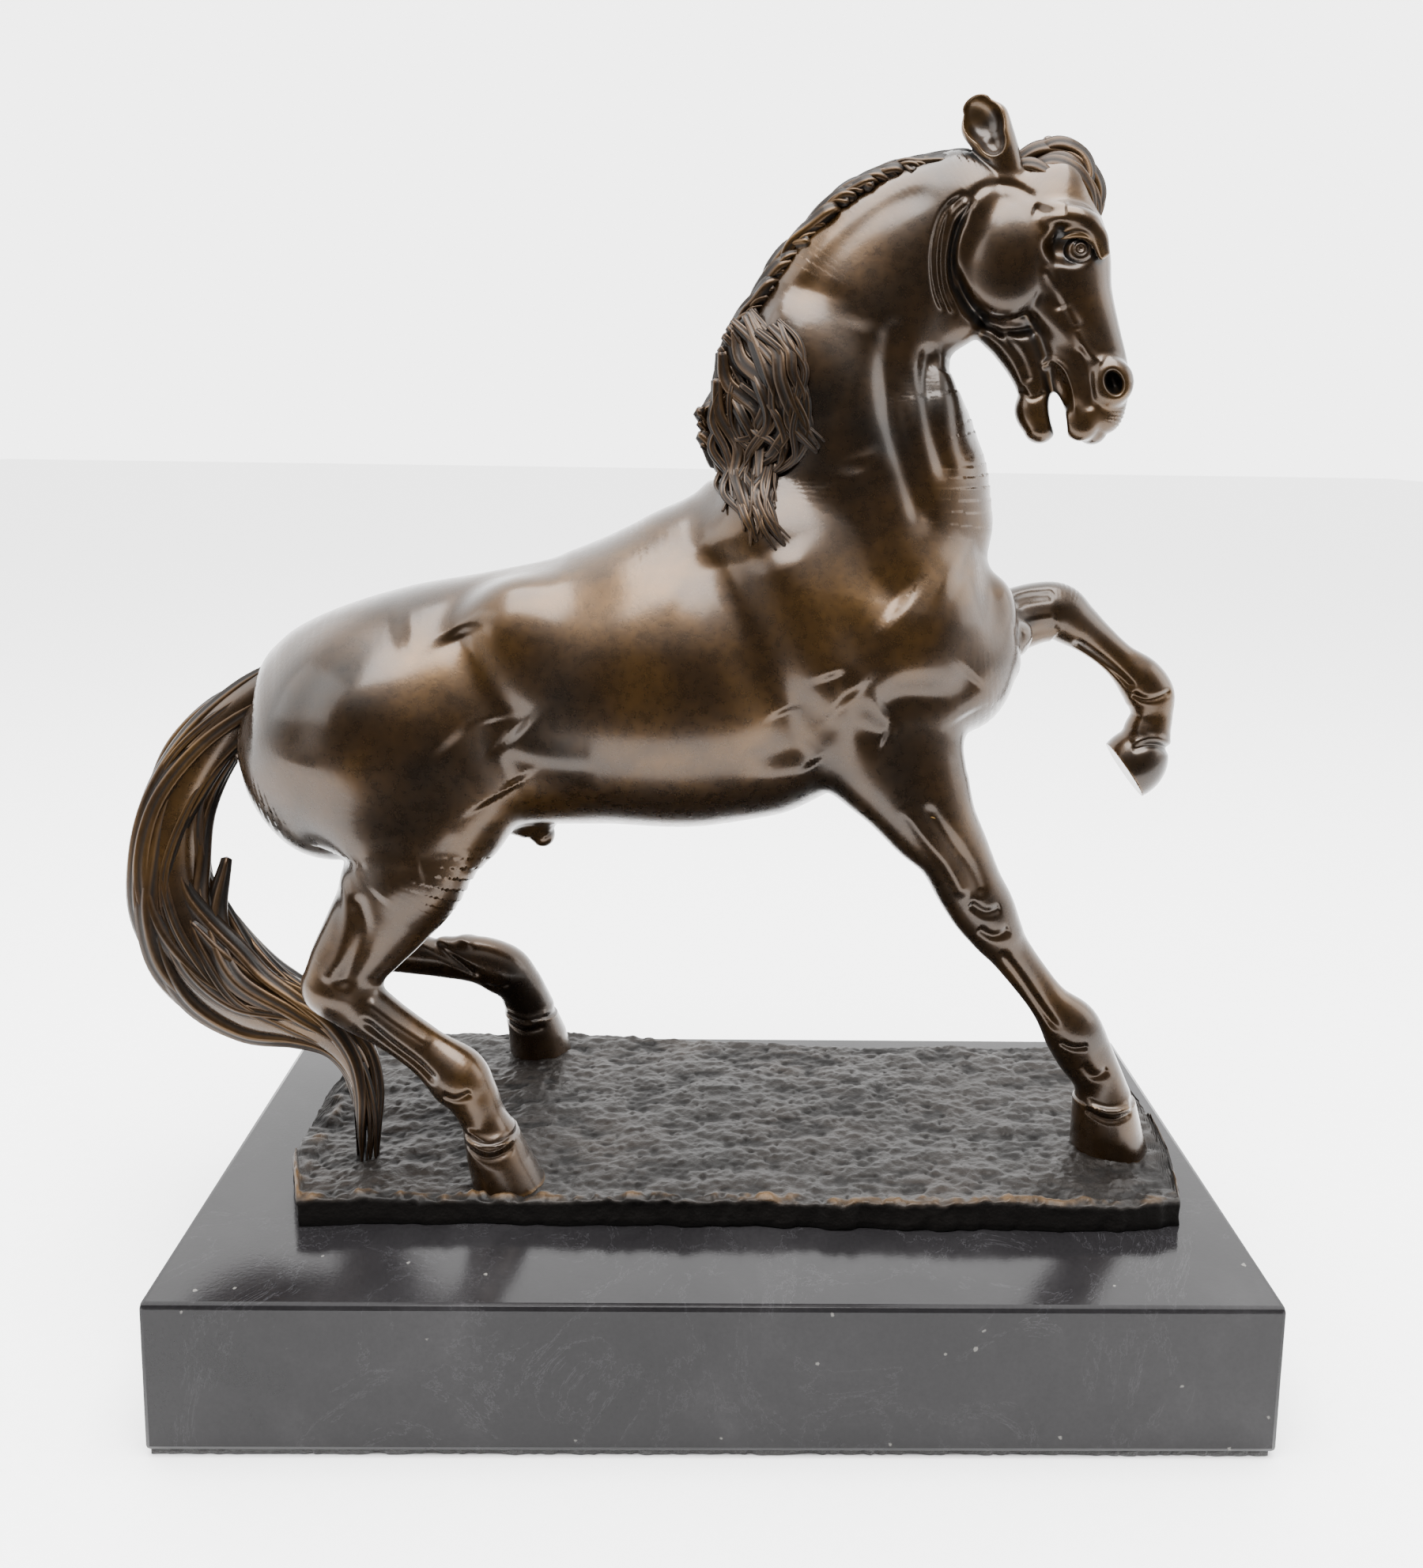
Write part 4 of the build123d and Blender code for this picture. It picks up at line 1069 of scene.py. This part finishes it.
# ---------------------------------------------------------------- materials
def colour(code):
    """An sRGB hex value as linear red, green, blue and alpha."""
    parts = [int(code[k:k + 2], 16) / 255 for k in (1, 3, 5)]
    return tuple([c / 12.92 if c <= 0.04045 else ((c + 0.055) / 1.055)**2.4 for c in parts] + [1.0])


def add(tree, kind, settings=None, **links):
    """A node of that kind with its settings, and its inputs set or linked by name."""
    node = tree.nodes.new(kind)
    for key, value in (settings or {}).items():
        setattr(node, key, value)
    for key, value in links.items():
        key = int(key[1:]) if key[0] == "_" and key[1:].isdigit() else key.replace("_", " ")
        socket = node.inputs[key]
        if isinstance(value, bpy.types.NodeSocket):
            tree.links.new(value, socket)
        else:
            socket.default_value = value
    return node


def new_material(name):
    """An empty material: itself, its tree, its surface shader and object coordinates."""
    material = bpy.data.materials.new(name)
    material.use_nodes = True
    tree = material.node_tree
    tree.nodes.clear()
    output = tree.nodes.new("ShaderNodeOutputMaterial")
    shader = tree.nodes.new("ShaderNodeBsdfPrincipled")
    tree.links.new(shader.outputs[0], output.inputs[0])
    place = tree.nodes.new("ShaderNodeTexCoord").outputs["Object"]
    return material, tree, shader, place


def ramp(tree, value, stops):
    """Colours along a value: stops are a place from 0 to 1 and a colour."""
    node = add(tree, "ShaderNodeValToRGB", Fac=value)
    band = node.color_ramp
    while len(band.elements) < len(stops):
        band.elements.new(0.5)
    for element, (at, tint) in zip(band.elements, stops):
        element.position = at
        element.color = tint
    return node.outputs[0]


def scale_of(size):
    """A noise texture's scale for details of that many millimetres, in metres."""
    return 1 / (size * MM)


def grain_of(tree, place, size, detail, roughness=0.5, distortion=0.0):
    """Cloudy noise from 0 to 1 with details of that many millimetres."""
    node = add(tree, "ShaderNodeTexNoise", Vector=place, Scale=scale_of(size), Detail=detail,
               Roughness=roughness, Distortion=distortion)
    return node.outputs["Fac"]


def mix(tree, amount, under, over, blend="MIX"):
    """One colour over another, by that amount."""
    node = add(tree, "ShaderNodeMix", {"data_type": "RGBA", "blend_type": blend},
               _0=amount, _6=under, _7=over)
    return node.outputs[2]


def cast_bronze(name, dark, middle, bright, gloss, grain, wax):
    """Cast bronze, chased, chemically patinated brown and waxed.

    Painted shade darkens the colour almost to black in hollows; on ridges the patina is
    rubbed to bare golden metal.
    Cloudy patches of a few centimetres vary its brown, and fine pits and brush marks of
    half a millimetre break its gloss. A thin coat is the wax.
    """
    material, tree, shader, place = new_material(name)
    hollow = add(tree, "ShaderNodeAttribute", {"attribute_name": "hollow"}).outputs["Fac"]
    worn = add(tree, "ShaderNodeAttribute", {"attribute_name": "worn"}).outputs["Fac"]
    cloud = grain_of(tree, place, 38, 4.0, 0.55)
    fleck = grain_of(tree, place, 3.2, 5.0, 0.65)
    pits = grain_of(tree, place, 0.9, 3.0, 0.6)
    brown = ramp(tree, cloud, [(0.3, dark), (0.52, middle), (0.75, bright)])
    mottle = ramp(tree, fleck, [(0.35, (0.82, 0.82, 0.82, 1)), (0.7, (1.1, 1.08, 1.05, 1))])
    base = mix(tree, 0.8, brown, mottle, "MULTIPLY")
    # Painted shade: the hollow attribute takes the colour towards #0a0705 in recesses, and dulls the gloss
    # there.
    deep = add(tree, "ShaderNodeMapRange", {"interpolation_type": "SMOOTHSTEP"}, Value=hollow,
               From_Min=0.10, From_Max=0.55, To_Min=0.0, To_Max=0.92).outputs[0]
    shaded_base = mix(tree, deep, base, colour("#0a0705"))
    rub = add(tree, "ShaderNodeMapRange", {"interpolation_type": "SMOOTHSTEP"}, Value=worn,
              From_Min=0.2, From_Max=0.8, To_Min=0.0, To_Max=0.5).outputs[0]
    gold = mix(tree, rub, shaded_base, colour("#5f4626"))
    tree.links.new(gold, shader.inputs["Base Color"])
    shine = add(tree, "ShaderNodeMapRange", Value=fleck, From_Min=0.3, From_Max=0.75,
                To_Min=gloss - 0.05, To_Max=gloss + 0.08).outputs[0]
    dull = add(tree, "ShaderNodeMath", {"operation": "MULTIPLY_ADD"}, _0=deep, _1=0.25, _2=shine).outputs[0]
    tree.links.new(dull, shader.inputs["Roughness"])
    shader.inputs["Metallic"].default_value = 0.75
    shader.inputs["Coat Weight"].default_value = wax
    shader.inputs["Coat Roughness"].default_value = 0.2
    fine = add(tree, "ShaderNodeBump", Strength=grain, Distance=0.00025, Height=pits).outputs[0]
    coarse = add(tree, "ShaderNodeBump", Strength=grain * 0.8, Distance=0.0008, Height=fleck,
                 Normal=fine).outputs[0]
    tree.links.new(coarse, shader.inputs["Normal"])
    return material


bronze_patina = cast_bronze("cast_bronze_waxed_brown_patina", colour("#170e04"), colour("#2f1e08"),
                            colour("#4b330f"), 0.28, 0.12, 0.45)
bronze_hair = cast_bronze("cast_bronze_dark_brown_patina", colour("#150d05"), colour("#2c1c0a"),
                          colour("#463113"), 0.36, 0.15, 0.1)
bronze_ground = cast_bronze("cast_bronze_rough_dark_patina", colour("#0f0c09"), colour("#17120e"),
                            colour("#211a14"), 0.55, 0.7, 0.1)


def bare_bronze():
    """Turned bronze, unpatinated: golden, with fine lathe marks."""
    material, tree, shader, place = new_material("turned_bare_bronze")
    marks = grain_of(tree, place, 1.2, 3.0)
    tint = ramp(tree, marks, [(0.3, colour("#8f6f40")), (0.7, colour("#b08d57"))])
    tree.links.new(tint, shader.inputs["Base Color"])
    shader.inputs["Metallic"].default_value = 1.0
    shader.inputs["Roughness"].default_value = 0.35
    return material


def zinc_steel():
    """Zinc-plated steel: pale, slightly bluish and satin."""
    material, tree, shader, place = new_material("zinc_plated_steel")
    spangle = add(tree, "ShaderNodeTexVoronoi", Vector=place, Scale=scale_of(2.0)).outputs["Distance"]
    tint = ramp(tree, spangle, [(0.1, colour("#9aa0a6")), (0.8, colour("#c3c8cc"))])
    tree.links.new(tint, shader.inputs["Base Color"])
    shader.inputs["Metallic"].default_value = 1.0
    shader.inputs["Roughness"].default_value = 0.38
    return material


def polished_bluestone():
    """Black limestone, sawn, polished and waxed.

    A dark grey ground has soft grey clouds, pale shell flecks of one to four millimetres
    and hairline veins.
    """
    material, tree, shader, place = new_material("polished_black_limestone")
    cloud = grain_of(tree, place, 45, 6.0, 0.6, 0.6)
    grain = grain_of(tree, place, 1.1, 4.0, 0.7)
    base = ramp(tree, cloud, [(0.3, colour("#121112")), (0.55, colour("#191819")),
                              (0.75, colour("#212021"))])
    salt = ramp(tree, grain, [(0.35, (0.85, 0.85, 0.85, 1)), (0.68, (1.15, 1.15, 1.15, 1))])
    mixed = mix(tree, 1.0, base, salt, "MULTIPLY")
    shells = add(tree, "ShaderNodeTexVoronoi", {"feature": "F1"}, Vector=place, Scale=scale_of(11),
                 Randomness=1.0)
    breakup = grain_of(tree, place, 1.6, 3.0)
    ragged = add(tree, "ShaderNodeMath", {"operation": "MULTIPLY_ADD"}, _0=breakup, _1=0.20,
                 _2=shells.outputs["Distance"]).outputs[0]
    spot = add(tree, "ShaderNodeMapRange", {"interpolation_type": "SMOOTHSTEP"}, Value=ragged,
               From_Min=0.155, From_Max=0.125, To_Min=0.0, To_Max=0.75).outputs[0]
    flecked = mix(tree, spot, mixed, colour("#615f5b"))
    crack = grain_of(tree, place, 60, 8.0, 0.7, 1.5)
    away = add(tree, "ShaderNodeMath", {"operation": "SUBTRACT"}, _0=crack, _1=0.5).outputs[0]
    thin = add(tree, "ShaderNodeMath", {"operation": "ABSOLUTE"}, _0=away).outputs[0]
    line = add(tree, "ShaderNodeMapRange", Value=thin, From_Min=0.004, From_Max=0.0, To_Min=0.0,
               To_Max=0.25).outputs[0]
    veined = mix(tree, line, flecked, colour("#4b4a4d"))
    tree.links.new(veined, shader.inputs["Base Color"])
    shine = add(tree, "ShaderNodeMapRange", Value=cloud, From_Min=0.3, From_Max=0.8, To_Min=0.10,
                To_Max=0.2).outputs[0]
    tree.links.new(shine, shader.inputs["Roughness"])
    shader.inputs["Specular IOR Level"].default_value = 0.18
    dents = add(tree, "ShaderNodeBump", Strength=0.12, Distance=0.0002, Height=grain).outputs[0]
    tree.links.new(dents, shader.inputs["Normal"])
    return material


def pressed_felt():
    """Black wool felt: matt, with short fibres standing out of it and a dusty sheen."""
    material, tree, shader, place = new_material("pressed_black_felt")
    fibre = grain_of(tree, place, 0.8, 6.0, 0.75)
    tint = ramp(tree, fibre, [(0.3, colour("#0d0c0c")), (0.7, colour("#2a2827"))])
    tree.links.new(tint, shader.inputs["Base Color"])
    shader.inputs["Roughness"].default_value = 0.95
    shader.inputs["Sheen Weight"].default_value = 0.3
    fuzz = add(tree, "ShaderNodeBump", Strength=0.8, Distance=0.0006, Height=fibre).outputs[0]
    tree.links.new(fuzz, shader.inputs["Normal"])
    return material


polished_stone = polished_bluestone()
black_felt = pressed_felt()
bare = bare_bronze()
zinc = zinc_steel()
for node, material in (("neck_sleeve", bare), ("head_sleeve", bare), ("neck_rivets", bare),
                       ("head_rivets", bare), ("foreleg_rivets", bare), ("hind_leg_rivets", bare),
                       ("tail_rivet", bare), ("base_bolts", zinc), ("base_washers", zinc),
                       ("foot_studs", zinc), ("foot_nuts", zinc), ("foot_washers", zinc)):
    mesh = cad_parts[node].data
    mesh.materials.clear()
    mesh.materials.append(material)


# ---------------------------------------------------------------- the castings
LEG_TOP = 89.0
BREAST = 97.0
NECK_PLANE = ((40, 0, 195), (-0.28, 0, -0.96))
HEAD_PLANE = ((70.5, 0, 244.2), (0.91, 0, 0.415))


def flipped(plane):
    """The same cut with its other side taken away."""
    return plane[0], tuple(-value for value in plane[1])


tail_field = tube(TAIL)[0]
cast("body", horse, (-156, -38, 86), (100, 50, 220), 0.85,
     [((0, 0, LEG_TOP), (0, 0, -1)), ((BREAST, 0, 0), (1, 0, 0)), flipped(NECK_PLANE)],
     ["body_shell", "core_plugs"])
cast("neck", horse, (-6, -32, 176), (96, 40, 302), 0.6, [NECK_PLANE, HEAD_PLANE], ["neck_shell"])
cast("head", horse, (44, -32, 205), (124, 34, 318), 0.42, [flipped(HEAD_PLANE)], ["head_shell"])
cast("right_fore", horse, (24, -34, -4), (140, 8, 92), 0.6,
     [((0, 0, LEG_TOP), (0, 0, 1)), ((0, 8, 0), (0, 1, 0))], ["right_foreleg"])
cast("left_fore", horse, (94, 2, 96), (156, 44, 182), 0.5, [((BREAST, 0, 0), (-1, 0, 0))], ["left_foreleg"])
cast("right_hind", horse, (-132, -48, -4), (-44, 6, 92), 0.6,
     [((0, 0, LEG_TOP), (0, 0, 1)), ((0, 6, 0), (0, 1, 0))], ["right_hind_leg"])
cast("left_hind", horse, (-142, 6, -4), (-44, 70, 92), 0.6,
     [((0, 0, LEG_TOP), (0, 0, 1)), ((0, 6, 0), (0, -1, 0))], ["left_hind_leg"])
cast("tail_core", tail_field, (-184, -20, -6), (-106, 20, 158), 0.9, [], ["tail"])
hair("tail_locks", tail_locks(), ["tail"])
hair("mane", mane_locks(), ["neck_shell"])
hair("forelock", forelock(), ["head_shell"])
terrace()
slab()
felt()


# ---------------------------------------------------------------- studio
def studio():
    """A pale sweep under and behind the statue, a broad soft light overhead and two at the sides."""
    middle = (0, FLOOR_FRONT + FLOOR_SIZE / 2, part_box("felt_sheet")[0][2])
    bpy.ops.mesh.primitive_plane_add(size=FLOOR_SIZE, location=middle)
    floor = bpy.context.object
    floor.name = "floor"
    material, tree, shader, place = new_material("white_paper_sweep")
    paper = grain_of(tree, place, 4, 2.0)
    tint = ramp(tree, paper, [(0.0, colour("#f7f7f7")), (1.0, colour("#ffffff"))])
    tree.links.new(tint, shader.inputs["Base Color"])
    shader.inputs["Roughness"].default_value = 0.9
    floor.data.materials.append(material)
    for name, spot, size, watts in (("overhead", (0.0, -0.25, 1.1), 0.9, 44.0),
                                    ("left", (-1.3, -0.5, 0.9), 1.0, 12.0),
                                    ("right", (1.3, -0.2, 0.7), 0.8, 8.0)):
        data = bpy.data.lights.new(name, "AREA")
        data.shape = "SQUARE"
        data.size = size
        data.energy = watts
        lamp = bpy.data.objects.new(name, data)
        bpy.context.collection.objects.link(lamp)
        lamp.location = spot
        lamp.rotation_euler = (Vector((0, 0, 0.2)) - Vector(spot)).to_track_quat("-Z", "Y").to_euler()
    world = bpy.data.worlds.new("studio")
    world.use_nodes = True
    tree = world.node_tree
    sky = tree.nodes.new("ShaderNodeTexCoord").outputs["Generated"]
    way = add(tree, "ShaderNodeSeparateXYZ", Vector=sky)
    behind = add(tree, "ShaderNodeMapRange", {"interpolation_type": "SMOOTHSTEP"}, Value=way.outputs["Y"],
                 From_Min=-0.9, From_Max=0.35, To_Min=0.05, To_Max=1.06).outputs[0]
    above = add(tree, "ShaderNodeMapRange", {"interpolation_type": "SMOOTHSTEP"}, Value=way.outputs["Z"],
                From_Min=0.25, From_Max=0.9, To_Min=0.0, To_Max=0.8).outputs[0]
    room = add(tree, "ShaderNodeMath", {"operation": "MAXIMUM"}, _0=behind, _1=above).outputs[0]
    power = add(tree, "ShaderNodeMath", {"operation": "MULTIPLY"}, _0=room, _1=WORLD_LIGHT).outputs[0]
    background = tree.nodes["Background"]
    background.inputs[0].default_value = (1, 1, 1, 1)
    tree.links.new(power, background.inputs[1])
    bpy.context.scene.world = world


studio()
